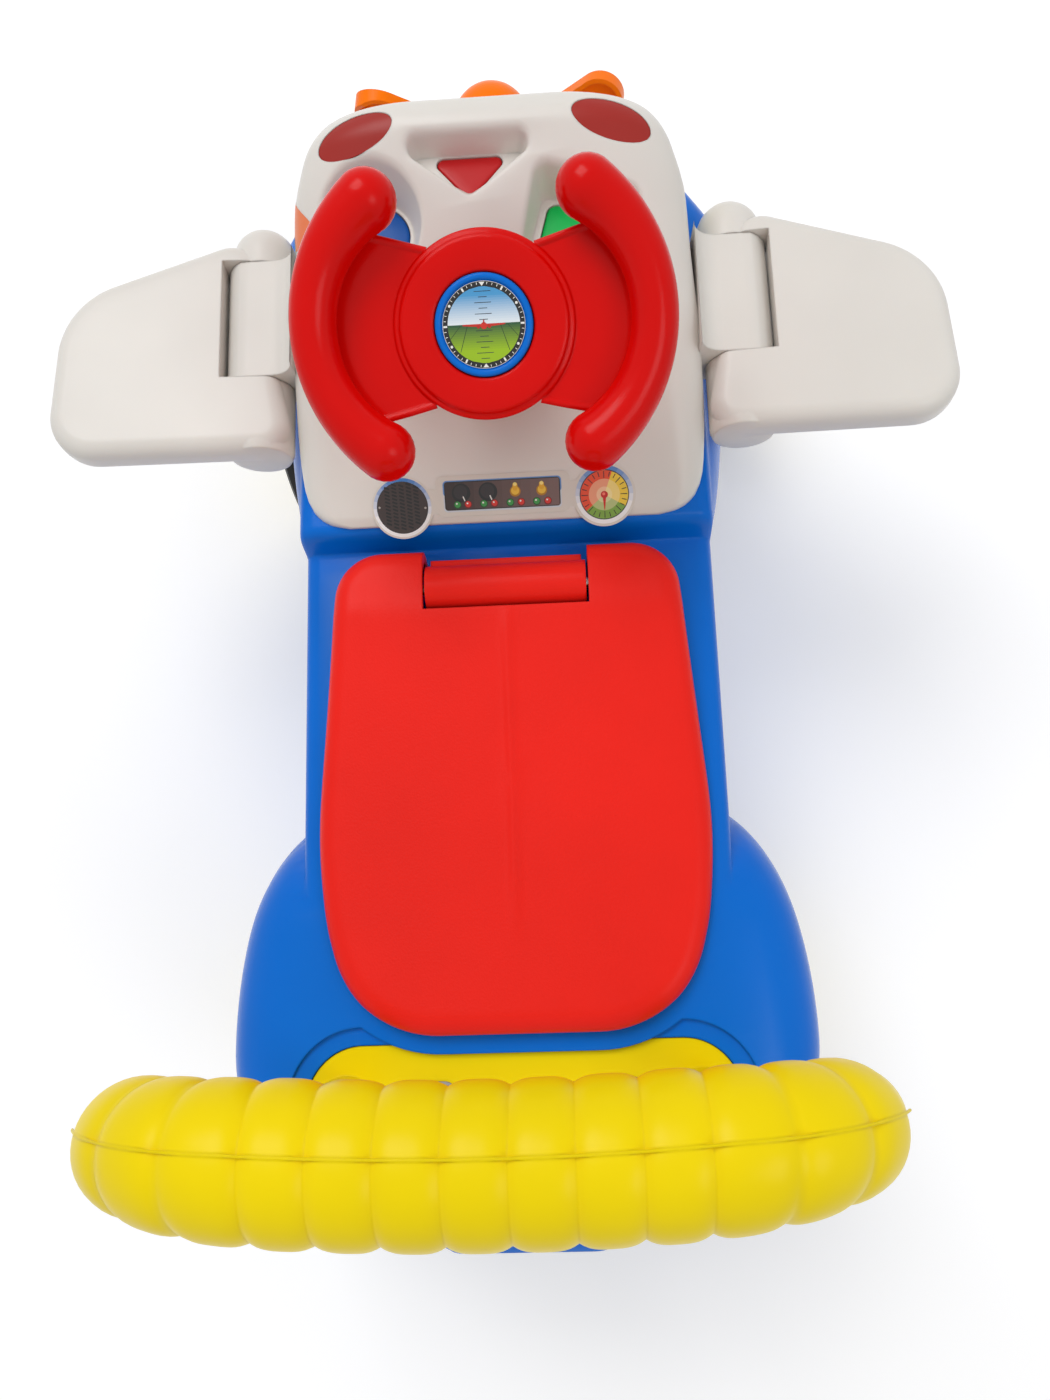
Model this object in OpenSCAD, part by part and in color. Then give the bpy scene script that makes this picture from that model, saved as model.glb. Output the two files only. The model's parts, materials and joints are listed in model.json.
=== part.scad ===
// Ride-on toy aeroplane for a toddler: hollow blue body, white cowl with a sloped dash, folding wings,
// lift-up seat over a storage bin, push handle, activity steering wheel, propeller and four wheels.
// Millimetres. +Y is the nose, +X the rider's right hand, +Z up, and the floor is z = 0.

/* [Overall] */
// Height of the flat seat deck above the floor
deck_z = 222; // [205:1:235]
// Half width of the body beside the seat
body_half_w = 114; // [106:1:120]
// Height of the body's bottom edge above the floor
body_floor_z = 40; // [32:1:48]
// Wall of the blue body
body_wall = 3; // [2:0.5:4]
// Half width of the rear fenders at their widest
fender_half_w = 157.5; // [150:0.5:164]
// Half width of the front fenders under the wings
front_fender_half_w = 135; // [126:1:138]

/* [Seat] */
// Thickness of the seat lid at its front edge
lid_rise = 24; // [20:1:30]
// How far the seat dips in the middle
seat_dip = 12; // [6:1:14]
// Wall of the moulded lid
lid_wall = 3; // [2.5:0.5:4]
// Radius of the hinge barrel
barrel_r = 12.5; // [11:0.5:13]
// Half length of the hinge barrel
barrel_half_l = 43; // [36:1:48]
// Radius of the steel hinge pin
lid_pin_r = 3; // [2:0.5:4]
// Depth of the storage bin under the deck
bin_depth = 112; // [80:1:125]
// Wall of the storage bin
bin_wall = 2.5; // [2:0.5:3]

/* [Cowl] */
// Half width of the white cowl
cowl_half_w = 110; // [104:1:113]
// Height of the seam between the body and the cowl
cowl_seam_z = 240; // [236:1:242]
// Tilt of the dash and of the steering wheel
dash_tilt = 26.4; // [22:0.2:28]
// Wall of the cowl
cowl_wall = 3; // [2.5:0.5:3.5]
// Drop from the rear rim of a finger well to the face of its button
well_drop = 3; // [2:0.5:6]
// Travel of the shape buttons
button_travel = 3; // [2:0.5:3.5]
// Radius of the round button well
round_well_r = 26; // [22:1:27]

/* [Steering wheel] */
// Radius of the centre disc
disc_r = 41.5; // [38:0.5:44]
// Radius of the grip tubes
grip_r = 11.5; // [9:0.5:12.5]
// Radius of the rounded grip ends
grip_ball_r = 14; // [12:0.5:15]
// Radius of the grips' curve
grip_bend_r = 64.2; // [60:0.2:68]
// Radius of the steering shaft
shaft_r = 5; // [4:0.5:6]
// Distance of the disc's face from the dash
wheel_stand = 70; // [62:1:76]
// Radius of the horn button with its blue ring
horn_r = 22.4; // [19:0.2:24]
// Travel of the horn button
horn_travel = 2.5; // [1.5:0.5:3]

/* [Wings] */
// Half span over the wing tips
half_span = 243; // [228:1:250]
// Thickness of a wing panel
wing_t = 21; // [16:1:24]
// Radius of the wing hinge knuckles
knuckle_r = 17.5; // [15:0.5:18.5]
// Radius of the steel wing pins
wing_pin_r = 3; // [2:0.5:4]
// Upward slope of the wings from root to tip
wing_rise = 4; // [2:0.5:6]

/* [Running gear] */
// Radius of the wheels
wheel_r = 62; // [56:1:64]
// Width of a wheel
wheel_w = 27; // [22:1:28]
// Distance of the front wheels' middle planes from the centre line
front_track = 155; // [152:1:160]
// Distance of the rear wheels' middle planes from the centre line
rear_track = 136; // [133:1:139]
// Radius of the steel axles
axle_r = 4; // [3:0.5:5]
// Radius of the steel kingpin
kingpin_r = 5; // [4:0.5:6]
// Angle at which the front wheels stand, turned to the left
steer_rest = 11; // [0:1:14]

/* [Propeller] */
// Reach of the propeller blades from the shaft
blade_reach = 83; // [74:1:86]
// Width of a blade
blade_w = 26; // [22:1:34]
// Number of blades
blade_count = 3; // [2:1:4]
// Radius of the spinner
spinner_r = 23; // [18:0.5:24]
// Radius of the propeller shaft
prop_shaft_r = 4; // [3:0.5:5]

/* [Push handle] */
// Height of the grip's centre line
grip_z = 450; // [430:1:460]
// Radius of the ribbed grip over its ribs
rib_r = 23.6; // [21:0.2:26]
// Half length of the straight middle of the grip
grip_flat = 72; // [60:1:78]
// Radius of the grip's bends
grip_corner_r = 48; // [44:1:54]
// Depth of the grooves between the ribs
groove_depth = 2.6; // [1.5:0.1:3.4]
// How far the grip leans back for each millimetre that it drops
grip_lean = 0.09; // [0:0.01:0.15]
// How far the ends of the grip bow forward
grip_bow = 6; // [0:1:10]
// Thickness of the handle's foot plate
foot_t = 7; // [5:1:9]

/* [Fits] */
// Clearance between moulded pieces
fit_gap = 0.4; // [0.3:0.1:0.6]
// Radial clearance of a shaft running in a hole
run_gap = 0.06; // [0.02:0.01:0.1]

/* [Hidden] */

sides = [-1, 1];

// Stations along the body that the outline passes through
tail_y = -331;
fender_mid_y = -228;
fender_front_y = -98;
deck_front_y = 40;
cowl_rear_y = 48;
nose_y = 268;
front_axle_y = 211;
rear_axle_y = -215;

// The whole toy is moved along y so that the origin lies under the middle of its box
prop_y = nose_y + 2;
hub_l = 21;
tip_y = prop_y + hub_l + spinner_r;
module placed() translate([0, -(tail_y + tip_y) / 2, 0]) children();

blue = [0.0, 0.33, 0.80];
white = [0.90, 0.89, 0.87];
red = [0.86, 0.10, 0.07];
yellow = [0.96, 0.86, 0.05];
orange = [1.0, 0.49, 0.05];
black = [0.05, 0.05, 0.05];
steel = [0.70, 0.71, 0.73];
green = [0.05, 0.72, 0.28];
grey = [0.58, 0.58, 0.60];
dark_red = [0.55, 0.10, 0.10];

// Straight interpolation in a list of [y, value] pairs
function at(y, t, i = 0) =
    y <= t[0][0] ? t[0][1]
    : i >= len(t) - 1 ? t[len(t) - 1][1]
    : y <= t[i + 1][0] ? t[i][1] + (t[i + 1][1] - t[i][1]) * (y - t[i][0]) / (t[i + 1][0] - t[i][0])
    : at(y, t, i + 1);

// Quarter ellipse that falls from 1 to 0 as u goes from 0 to 1
function dome(u) = sqrt(max(0, 1 - u * u));

// Solid through a list of closed rings that all have the same number of points, closed by fans at both ends
function middle(ring) = [for (k = [0:2]) let (v = [for (p = ring) p[k]]) (min(v) + max(v)) / 2];
module loft(rings) {
    n = len(rings[0]);
    m = len(rings);
    polyhedron(
        points = concat([for (r = rings) each r], [middle(rings[0]), middle(rings[m - 1])]),
        faces = concat(
            [for (i = [0:n - 1]) [m * n, i, (i + 1) % n]],
            [for (k = [0:m - 2], i = [0:n - 1])
                each let (a = k * n + i, b = k * n + (i + 1) % n) [[a, a + n, b], [b, a + n, b + n]]],
            [for (i = [0:n - 1]) [m * n + 1, (m - 1) * n + (i + 1) % n, (m - 1) * n + i]]
        )
    );
}

// Point of the outline around a set of circles [x, y, r], in the direction a, drawn in by d
function round_point(circles, a, d) =
    let (
        reach = [for (c = circles) c[0] * cos(a) + c[1] * sin(a) + c[2]],
        best = [for (k = [0:len(circles) - 1]) if (reach[k] >= max(reach) - 1e-9) circles[k]][0],
        r = max(best[2] - d, 0.2)
    ) [best[0] + r * cos(a), best[1] + r * sin(a)];
function round_outline(circles, d = 0, n = 72) =
    [for (i = [0:n - 1]) round_point(circles, (i + 0.5) * 360 / n, d)];

// Body: half width and height at station y, and the outline of the fenders
function hull_half_w(y) = at(y, [[tail_y, 42], [tail_y + 5, 47], [tail_y + 22, 50], [-296, 62], [-284, 92],
    [-270, body_half_w - 4], [-250, body_half_w], [cowl_rear_y, body_half_w], [200, body_half_w],
    [236, body_half_w - 6], [254, body_half_w - 20], [nose_y - 4, body_half_w - 40], [nose_y, body_half_w - 54]]);
function hull_top(y) = at(y, [[tail_y, deck_z - 26], [tail_y + 5, deck_z - 21], [-300, deck_z - 12],
    [-288, deck_z], [deck_front_y, deck_z], [cowl_rear_y - 2, cowl_seam_z - 2], [cowl_rear_y + 2, cowl_seam_z],
    [nose_y, cowl_seam_z]]);
function hull_floor(y) = at(y, [[tail_y, 168], [tail_y + 22, 120], [-292, body_floor_z + 34],
    [-270, body_floor_z], [240, body_floor_z], [258, body_floor_z + 40], [nose_y, body_floor_z + 90]]);

// Rear fender: it grows out of the side wall, rises with a crease and rolls over its edge
fender_root_x = body_half_w - 16;
fender_rise = 80;
fender_roll = 46;
roll_power = 2.8;
function rear_fender_x(y) =
    let (u = y > fender_mid_y ? (y - fender_mid_y) / (fender_front_y - fender_mid_y) : (fender_mid_y - y) / 72)
    fender_root_x + (fender_half_w - fender_root_x) * dome(u);
function rear_fender_top(y) =
    let (v = max(0, min(1, (fender_front_y + 2 - y) / 72)), back = max(0, (-262 - y) / 52))
    deck_z - fender_rise + fender_rise * (y < -262 ? dome(back) : dome(1 - v));
function rear_fender(y, z) =
    let (top = rear_fender_top(y), q = max(0, min(1, (z - top + fender_roll) / fender_roll)))
    y > fender_front_y || z > top ? 0
    : fender_root_x + (rear_fender_x(y) - fender_root_x) * pow(1 - pow(q, roll_power), 1 / roll_power);

// Front fender: a flare under the wings that slopes in to the seam of the cowl
flare_root_x = 100;
flare_low = cowl_seam_z - 44;
flare_top = cowl_seam_z - 2;
function flare_x(y) = at(y, [[34, flare_root_x], [44, body_half_w - 1], [59, body_half_w + 5], [78, body_half_w + 8.6],
    [113, front_fender_half_w - 8], [150, front_fender_half_w - 3], [185, front_fender_half_w],
    [230, front_fender_half_w - 1], [250, front_fender_half_w - 15], [262, front_fender_half_w - 39], [nose_y, 60]]);
function front_fender(y, z) = y < 36 || z > flare_top ? 0
    : flare_root_x + (flare_x(y) - flare_root_x) * dome(max(0, (z - flare_low) / (flare_top - flare_low)));

edge_r = 9;
function body_x(y, z) =
    let (over = max(0, (z - hull_top(y) + edge_r) / edge_r), main = hull_half_w(y) - edge_r * (1 - dome(min(1, over))))
    max(main, rear_fender(y, z), front_fender(y, z));

// Heights of a ring: up the wall, over the roll of the fender, and on to the top edge
roll_steps = [0, 0.4, 0.62, 0.78, 0.89, 0.96, 1];
edge_steps = [0.2, 0.55, 0.71, 0.82, 0.89, 0.95, 0.98, 1];
function body_heights(low, top, y) =
    let (f = max(min(rear_fender_top(y), top - 6), low + (top - low) * 0.4), g = max(f - fender_roll, low + (f - low) * 0.3))
    concat([low], [for (q = roll_steps) g + (f - g) * q], [for (q = edge_steps) f + (top - f) * q]);
body_stations = [tail_y, tail_y + 5, tail_y + 22, -296, -284, -270, -262, -240, -205, -184, -164, -146, -130, -117, -108,
    -102, fender_front_y, deck_front_y, cowl_rear_y, 59, 78, 113, 150, 185, 230, 250, 262, nose_y];
function body_ring(y) =
    let (side = [for (z = body_heights(hull_floor(y), hull_top(y), y)) [-body_x(y, z), y, z]])
    concat(side, [for (i = [len(side) - 1:-1:0]) [-side[i][0], y, side[i][2]]]);
// Rings of the hollow: the narrowest outline within a few millimetres, drawn in by the wall
function near(y) = [for (dy = [-4, 0, 4]) min(max(y + dy, tail_y), nose_y)];
function hollow_ring(y) =
    let (
        low = hull_floor(y) - 12, top = min([for (v = near(y)) hull_top(v)]) - body_wall,
        side = [for (z = body_heights(low, top, y))
            [body_wall - min([for (v = near(y)) body_x(v, z + body_wall)]), y, z]]
    ) concat(side, [for (i = [len(side) - 1:-1:0]) [-side[i][0], y, side[i][2]]]);
hollow_stations = concat([tail_y + body_wall],
    [for (y = body_stations) if (y > tail_y + 6 && y < nose_y - 5) y], [nose_y - body_wall]);

// Circles whose common outline is the seat, its edge, and the handle's foot
seat_circles = [for (s = sides) each [[s * (body_half_w - 47), 7.5, 26], [s * (body_half_w - 70), -118, 60],
    [s * (body_half_w - 74), -160, 60]]];
foot_circles = [for (s = sides) [s * (body_half_w - 32), -254, 29]];
foot_rim = 9;
foot_seat_gap = 10;
lid_axis = [barrel_r + 0.5, deck_z + barrel_r + 0.6];
lid_ledge = 7;
lid_front_y = 33.5;

module seat_shape(grow) polygon(round_outline(seat_circles, -grow));
module foot_shape(grow) difference() {
    polygon(round_outline(foot_circles, -grow, 48));
    seat_shape(foot_seat_gap - grow);
}

// The lid turns about the barrel, so the deck opens under its front lobes and keeps a tongue for the barrel
module deck_opening() difference() {
    seat_shape(-lid_ledge);
    translate([-barrel_half_l - 3, lid_axis[0] - barrel_r - 6]) square([2 * barrel_half_l + 6, 60]);
}
// The front lobes of the lid are cut back underneath to a cylinder about the hinge, which turns in slots of the deck
lobe_r = lid_front_y - lid_axis[0] + 0.5;
slot_x = [barrel_half_l + 1, body_half_w - 19.3];

arch_gap = 14;
front_arch_r = wheel_r + 22;
swivel_room = 20;
front_bay_half_w = body_half_w - 18;
rear_bay_half_w = rear_track - wheel_w / 2 - 8;
module across(x0, x1) translate([x0, 0, 0]) rotate([90, 0, 90]) linear_extrude(x1 - x0) children();

// The front arch is a stadium, so the wheels can swivel in it
module front_arch(grow) {
    for (y = [-swivel_room, swivel_room]) translate([front_axle_y + y, wheel_r]) circle(r = front_arch_r + grow, $fn = 64);
    translate([front_axle_y - swivel_room, 0]) square([2 * swivel_room, wheel_r + front_arch_r + grow]);
}
module wheel_arches() {
    for (s = sides) {
        across(s > 0 ? rear_bay_half_w : -220, s > 0 ? 220 : -rear_bay_half_w)
            translate([rear_axle_y, wheel_r]) circle(r = wheel_r + arch_gap, $fn = 64);
        across(s > 0 ? front_bay_half_w : -220, s > 0 ? 220 : -front_bay_half_w) front_arch(0);
    }
    across(-front_bay_half_w - 10, front_bay_half_w + 10) translate([front_axle_y - 52, 0]) square([88, wheel_r + 26]);
}
module arch_linings() for (s = sides) {
    across(s > 0 ? rear_bay_half_w - body_wall : -220, s > 0 ? 220 : body_wall - rear_bay_half_w)
        translate([rear_axle_y, wheel_r]) circle(r = wheel_r + arch_gap + body_wall, $fn = 64);
    across(s > 0 ? front_bay_half_w - body_wall : -220, s > 0 ? 220 : body_wall - front_bay_half_w) front_arch(body_wall);
}

module body_shell() color(blue) {
    difference() {
        loft([for (y = body_stations) body_ring(y)]);
        // The hollow leaves the arch linings and the pocket of the handle's foot standing
        difference() {
            loft([for (y = hollow_stations) hollow_ring(y)]);
            arch_linings();
            translate([0, 0, deck_z - foot_t - 4 - body_wall]) linear_extrude(60) foot_shape(foot_rim - body_wall);
            for (p = chassis_screw_points) translate([p[0] > 0 ? p[0] - 9 : -body_half_w - 9, p[1] - 9, screw_shelf_z])
                cube([body_half_w + 18 - abs(p[0]), 18, 14]);
        }
        for (p = chassis_screw_points) translate([p[0], p[1], body_floor_z]) cylinder(r = 2, h = 60, $fn = 24);
        across(-fender_half_w, fender_half_w) translate([rear_axle_y, wheel_r]) circle(r = axle_r + 4, $fn = 32);
        wheel_arches();
        translate([0, 0, deck_z - 60]) linear_extrude(80) deck_opening();
        // Slots that the front lobes of the lid turn down into
        for (s = sides) across(s > 0 ? slot_x[0] : -slot_x[1], s > 0 ? slot_x[1] : -slot_x[0])
            translate(lid_axis) circle(r = lobe_r + 0.6, $fn = 60);
        translate([0, 0, deck_z - foot_t - 4]) linear_extrude(30) foot_shape(fit_gap);
        // Bay under the cowl for the steering shaft and the electronics
        translate([-cowl_half_w + 16, cowl_rear_y + 14, cowl_seam_z - 12])
            cube([2 * cowl_half_w - 32, nose_y - cowl_rear_y - 44, 30]);
        for (p = handle_screw_points) translate([p[0], p[1], deck_z - 40]) cylinder(r = 2.2, h = 60, $fn = 24);
    }
}

handle_screw_points = [[-26, -262], [26, -262]];

// Chassis: flat pan with upright brackets for the rear axle and a raised bridge for the kingpin
pan_t = 4;
screw_shelf_z = body_floor_z + 24;
pan_half_w = min(rear_bay_half_w, body_half_w) - body_wall - 3.5;
bridge_half_w = front_bay_half_w - body_wall - 3;
pan_rear_y = -250;
pan_step_y = front_axle_y - front_arch_r - swivel_room - body_wall - 4;
bridge_z = wheel_r + 28;
bracket_x = 70;
door_half = [38, 30];
door_y = 90;
pan_front_y = front_axle_y - 54;
chassis_screw_points = [for (s = sides, y = [-120, -25, 70]) [s * (pan_half_w - 14), y]];
module chassis_pan() color(blue) difference() {
    union() {
        translate([-pan_half_w, pan_rear_y, body_floor_z]) cube([2 * pan_half_w, pan_step_y - pan_rear_y, pan_t]);
        translate([-bridge_half_w, pan_step_y - 1, body_floor_z]) cube([2 * bridge_half_w, pan_front_y - pan_step_y + 1, pan_t]);
        translate([-bridge_half_w, pan_front_y - 4, body_floor_z])
            cube([2 * bridge_half_w, 4, bridge_z - body_floor_z + pan_t]);
        translate([-bridge_half_w, pan_front_y, bridge_z])
            cube([2 * bridge_half_w, nose_y - 32 - pan_front_y, pan_t]);
        translate([0, front_axle_y, bridge_z]) cylinder(r = kingpin_r + 9, h = 30, $fn = 48);
        for (s = sides) {
            translate([s * bracket_x - 5, rear_axle_y - 16, body_floor_z]) cube([10, 32, wheel_r - body_floor_z]);
            across(s * bracket_x - 5, s * bracket_x + 5)
                translate([rear_axle_y, wheel_r]) circle(r = 16, $fn = 48);
        }
        for (x = [-40, 0, 40]) translate([x - 1.5, pan_rear_y + 4, body_floor_z]) cube([3, 300, 14]);
        for (p = chassis_screw_points) translate([p[0], p[1], body_floor_z]) cylinder(r = 6, h = 24, $fn = 32);
    }
    across(-120, 120) translate([rear_axle_y, wheel_r]) circle(r = axle_r + run_gap, $fn = 48);
    translate([0, front_axle_y, bridge_z - 5]) cylinder(r = kingpin_r + run_gap, h = 40, $fn = 48);
    translate([-door_half[0] - fit_gap, door_y - door_half[1] - fit_gap, body_floor_z - 1])
        cube([2 * door_half[0] + 2 * fit_gap, 2 * door_half[1] + 2 * fit_gap, 40]);
    for (p = chassis_screw_points) translate([p[0], p[1], body_floor_z - 1]) cylinder(r = 2.1, h = 30, $fn = 24);
}

module screw(x, y, z, r = 2, h = 20) translate([x, y, z]) {
    cylinder(r = r, h = h, $fn = 24);
    translate([0, 0, -2.4]) cylinder(r = 2 * r, h = 2.4, $fn = 32);
}
module chassis_screws() color(steel) for (p = chassis_screw_points) screw(p[0], p[1], body_floor_z, 2, 32);

// Storage bin under the seat, hung by its rim from the deck
bin_circles = [for (s = sides) each [[s * (body_half_w - 52), -26, 16], [s * (body_half_w - 56), -150, 26]]];
module storage_bin() color(blue) difference() {
    union() {
        translate([0, 0, deck_z - bin_depth]) linear_extrude(bin_depth - body_wall - fit_gap)
            polygon(round_outline(bin_circles, 0, 40));
        translate([0, 0, deck_z - body_wall - fit_gap - 3]) linear_extrude(3) difference() {
            seat_shape(-lid_ledge + 5);
            translate([-120, lid_axis[0] - barrel_r - 8]) square([240, 60]);
        }
    }
    translate([0, 0, deck_z - bin_depth + bin_wall]) linear_extrude(bin_depth)
        polygon(round_outline(bin_circles, bin_wall, 40));
}

// Seat lid: crowned shell with a dip, a raised centre rib and a notch for the hinge barrel
function seat_z(y) = y > -150
    ? min(deck_z + lid_rise, deck_z + lid_rise - seat_dip + seat_dip * pow((y + 150) / 150, 2))
    : deck_z + lid_rise - seat_dip + 3 * pow((y + 150) / 70, 2);
seat_mid = [0, -92];
function seat_ring(inset, drop) = [for (p = round_outline(seat_circles, inset, 56)) [p[0], p[1], seat_z(p[1]) - drop]];
function seat_flat_ring(inset, z) = [for (p = round_outline(seat_circles, inset, 56)) [p[0], p[1], z]];
function seat_core_ring(f, drop) = [for (p = round_outline(seat_circles, 14, 56))
    let (x = p[0] * f, y = seat_mid[1] + (p[1] - seat_mid[1]) * f) [x, y, seat_z(y) - drop]];
module seat_lid() color(red) {
    difference() {
        union() {
            difference() {
                loft([seat_flat_ring(1.5, deck_z + fit_gap), seat_flat_ring(0, deck_z + 3), seat_ring(0, 9),
                    seat_ring(1.2, 5), seat_ring(4, 2), seat_ring(8.5, 0.4), seat_ring(14, 0),
                    seat_core_ring(0.66, 0), seat_core_ring(0.33, 0), seat_core_ring(0.04, 0)]);
                loft([seat_flat_ring(lid_wall + 2, deck_z - 1), seat_ring(lid_wall + 2, 9),
                    seat_ring(lid_wall + 9, lid_wall + 1), seat_core_ring(0.6, lid_wall), seat_core_ring(0.04, lid_wall)]);
            }
            // Cheeks that carry the hinge pin
            for (s = sides) across(s * (barrel_half_l + 5.5) - 4.5, s * (barrel_half_l + 5.5) + 4.5)
                translate([lid_axis[0], lid_axis[1]]) circle(r = lid_pin_r + 5, $fn = 40);
            translate([-2.5, -168, deck_z + lid_rise - seat_dip - 4]) cube([5, 150, 3]);
        }
        translate([-barrel_half_l - 1, lid_axis[0] - barrel_r - 1.2, deck_z - 5]) cube([2 * barrel_half_l + 2, 60, 60]);
        across(-60, 60) translate(lid_axis) circle(r = lid_pin_r + run_gap, $fn = 48);
        across(-body_half_w, body_half_w) difference() {
            translate([lid_axis[0], deck_z - 5]) square([40, lid_axis[1] - deck_z + 5]);
            translate(lid_axis) circle(r = lobe_r, $fn = 96);
        }
    }
}

module seat_hinge_block() color(red) difference() {
    union() {
        across(-barrel_half_l, barrel_half_l) translate([lid_axis[0], lid_axis[1]]) circle(r = barrel_r, $fn = 64);
        translate([-barrel_half_l + 2, lid_axis[0] - barrel_r, deck_z]) cube([2 * barrel_half_l - 4, 2 * barrel_r + 4, barrel_r]);
    }
    across(-60, 60) translate([lid_axis[0], lid_axis[1]]) circle(r = lid_pin_r + run_gap, $fn = 48);
}
module seat_hinge_pin() color(steel) across(-barrel_half_l - 10, barrel_half_l + 10)
    translate([lid_axis[0], lid_axis[1]]) circle(r = lid_pin_r, $fn = 48);

// Dash frame: u to the right, v up the slope, n off the surface, from the middle of the label
dash_y = 56.4;
dash_z = 248;
module on_dash(u = 0, v = 0, n = 0) translate([0, dash_y, dash_z]) rotate([dash_tilt, 0, 0]) translate([u, v, n]) children();
function dash_height(y) = dash_z + (y - dash_y) * tan(dash_tilt);

// Cowl: side profile and half width at station y
cowl_top_r = 17.8;
cowl_crest_y = 227.3;
crest_rear_y = cowl_crest_y - cowl_top_r * sin(dash_tilt);
crest_front_y = cowl_crest_y + cowl_top_r * 0.96;
crest_z = dash_height(crest_rear_y) - cowl_top_r * cos(dash_tilt);
function cowl_top(y) =
    y < cowl_rear_y + 4 ? dash_height(cowl_rear_y) - 1.5 + (y - cowl_rear_y) * 0.9
    : y < crest_rear_y ? dash_height(y)
    : y < crest_front_y ? crest_z + sqrt(cowl_top_r * cowl_top_r - pow(y - cowl_crest_y, 2))
    : at(y, [[crest_front_y, crest_z + cowl_top_r * 0.28], [254, 304], [260, 292], [265, 277], [nose_y, 262]]);
function cowl_half(y) = cowl_half_w + at(y, [[cowl_rear_y, -26], [cowl_rear_y + 2, -17], [cowl_rear_y + 6, -10],
    [cowl_rear_y + 14, -4], [cowl_rear_y + 26, -1], [95, 0], [170, -1.5], [200, -1], [220, -5.5], [236, -14], [248, -25.5],
    [258, -33], [264, -44], [nose_y, -60]]);
function cowl_shoulder(y) = at(y, [[cowl_rear_y, 3], [cowl_rear_y + 8, 9], [100, 18], [200, 27], [240, 23.3], [nose_y, 20]]);
function shoulder_spread(y) = at(y, [[100, 1.25], [200, 2.1]]);
cowl_stations = [cowl_rear_y, cowl_rear_y + 2, cowl_rear_y + 6, cowl_rear_y + 14, cowl_rear_y + 26, 95, 130, 165, 200,
    212, crest_rear_y, 224, 229, 234, 239, crest_front_y, 249, 254, 260, 265, nose_y];
cowl_hollow = [cowl_rear_y + cowl_wall, cowl_rear_y + 14, 95, 200, 216, 226, 236, 246, 256, nose_y - cowl_wall];
cowl_angles = [0, 18, 36, 54, 72, 90];
function cowl_ring(y, d, low) =
    let (
        w = cowl_half(y) - d, top = cowl_top(y) - d * 1.08, r = max(1, min(cowl_shoulder(y), top - low - 1)),
        draft = max(0, (top - cowl_seam_z - 50) * 0.23), h = r * shoulder_spread(y),
        side = concat([[-w, y, low]], [for (a = cowl_angles) [-(w - draft - h + h * cos(a)), y, top - r + r * sin(a)]])
    ) concat(side, [for (i = [len(side) - 1:-1:0]) [-side[i][0], y, side[i][2]]]);

// Finger wells: plan outlines as circles, and the height of each button's face
round_well = [[50 - cowl_half_w, 185, round_well_r]];
triangle_well = [[-32.5, 214, 5], [17, 214, 5], [-8, 198, 5]];
square_mid = [cowl_half_w - 63, 178];
square_well = [for (u = [-20, 20], v = [-13, 15])
    [square_mid[0] + u * cos(14) + v * sin(14), square_mid[1] - u * sin(14) + v * cos(14), 7]];
wells = [round_well, triangle_well, square_well];
well_face_z = [for (y = [185 - round_well_r, 193, square_mid[1] - 18]) dash_height(y) - well_drop];
well_sides = [64, 36, 40];
stem_r = 5;
button_t = 7;
spring_room = button_travel + 5;
module well_shape(k, grow) polygon(round_outline(wells[k], -grow, well_sides[k]));
function well_stem(k) = k == 0 ? [50 - cowl_half_w, 185] : k == 1 ? [-8, 208] : square_mid;

collar_r = 27;
collar_h = 11;
lamp_at = [cowl_half_w - 46, 222];
module cowl() color(white) {
    difference() {
        union() {
            loft([for (y = cowl_stations) cowl_ring(y, 0, cowl_seam_z)]);
            on_dash(0, shaft_v, -10) cylinder(r1 = collar_r + 4, r2 = collar_r, h = 10 + collar_h, $fn = 64);
        }
        // The hollow leaves the button cups and the two bearings standing
        difference() {
            loft([for (y = cowl_hollow) cowl_ring(y, cowl_wall, cowl_seam_z - 5)]);
            for (k = [0:2]) translate([0, 0, well_face_z[k] - button_t - spring_room - 3])
                linear_extrude(90) well_shape(k, cowl_wall);
            on_dash(0, shaft_v, -12) cylinder(r = shaft_r + 6, h = 40, $fn = 48);
            translate([0, nose_y - 26, prop_z]) rotate([-90, 0, 0]) cylinder(r = prop_shaft_r + 4, h = 40, $fn = 48);
        }
        for (k = [0:2]) {
            translate([0, 0, well_face_z[k] - button_t - spring_room]) linear_extrude(90) well_shape(k, 0);
            translate([well_stem(k)[0], well_stem(k)[1], cowl_seam_z]) cylinder(r = stem_r + 0.3, h = 90, $fn = 32);
        }
        on_dash(0, shaft_v, -40) cylinder(r = shaft_r + run_gap, h = 80, $fn = 48);
        translate([0, nose_y - 40, prop_z]) rotate([-90, 0, 0]) cylinder(r = prop_shaft_r + run_gap, h = 60, $fn = 48);
        for (s = sides) lamp_cutter(s, 0);
    }
}
module lamp_cutter(s, shrink) translate([s * lamp_at[0], lamp_at[1], 296]) rotate([0, 0, -s * 12])
    linear_extrude(60) polygon([for (i = [0:31]) [(20 - shrink) * cos(i * 11.25), (9.5 - shrink) * sin(i * 11.25)]]);
module lamp_lens(s) color(dark_red) intersection() {
    loft([for (y = cowl_stations) if (y > 190 && y < 252) cowl_ring(y, 0.2, cowl_seam_z + 40)]);
    lamp_cutter(s, 0.15);
    translate([-120, 190, 0]) rotate([8, 0, 0]) translate([0, 0, 268]) cube([240, 80, 90]);
}
module lamp_lens_left() lamp_lens(-1);
module lamp_lens_right() lamp_lens(1);

// Printed instrument label on the dash
label_t = 0.8;
module dash_label() color([0.75, 0.72, 0.66]) on_dash(0, 0, 0.05) linear_extrude(label_t) {
    for (s = sides) translate([s * 54.5, 0]) circle(r = 15.5, $fn = 48);
    translate([-34, -9.5]) square([68, 21]);
    translate([-50, -5]) square([100, 10]);
}

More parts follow.
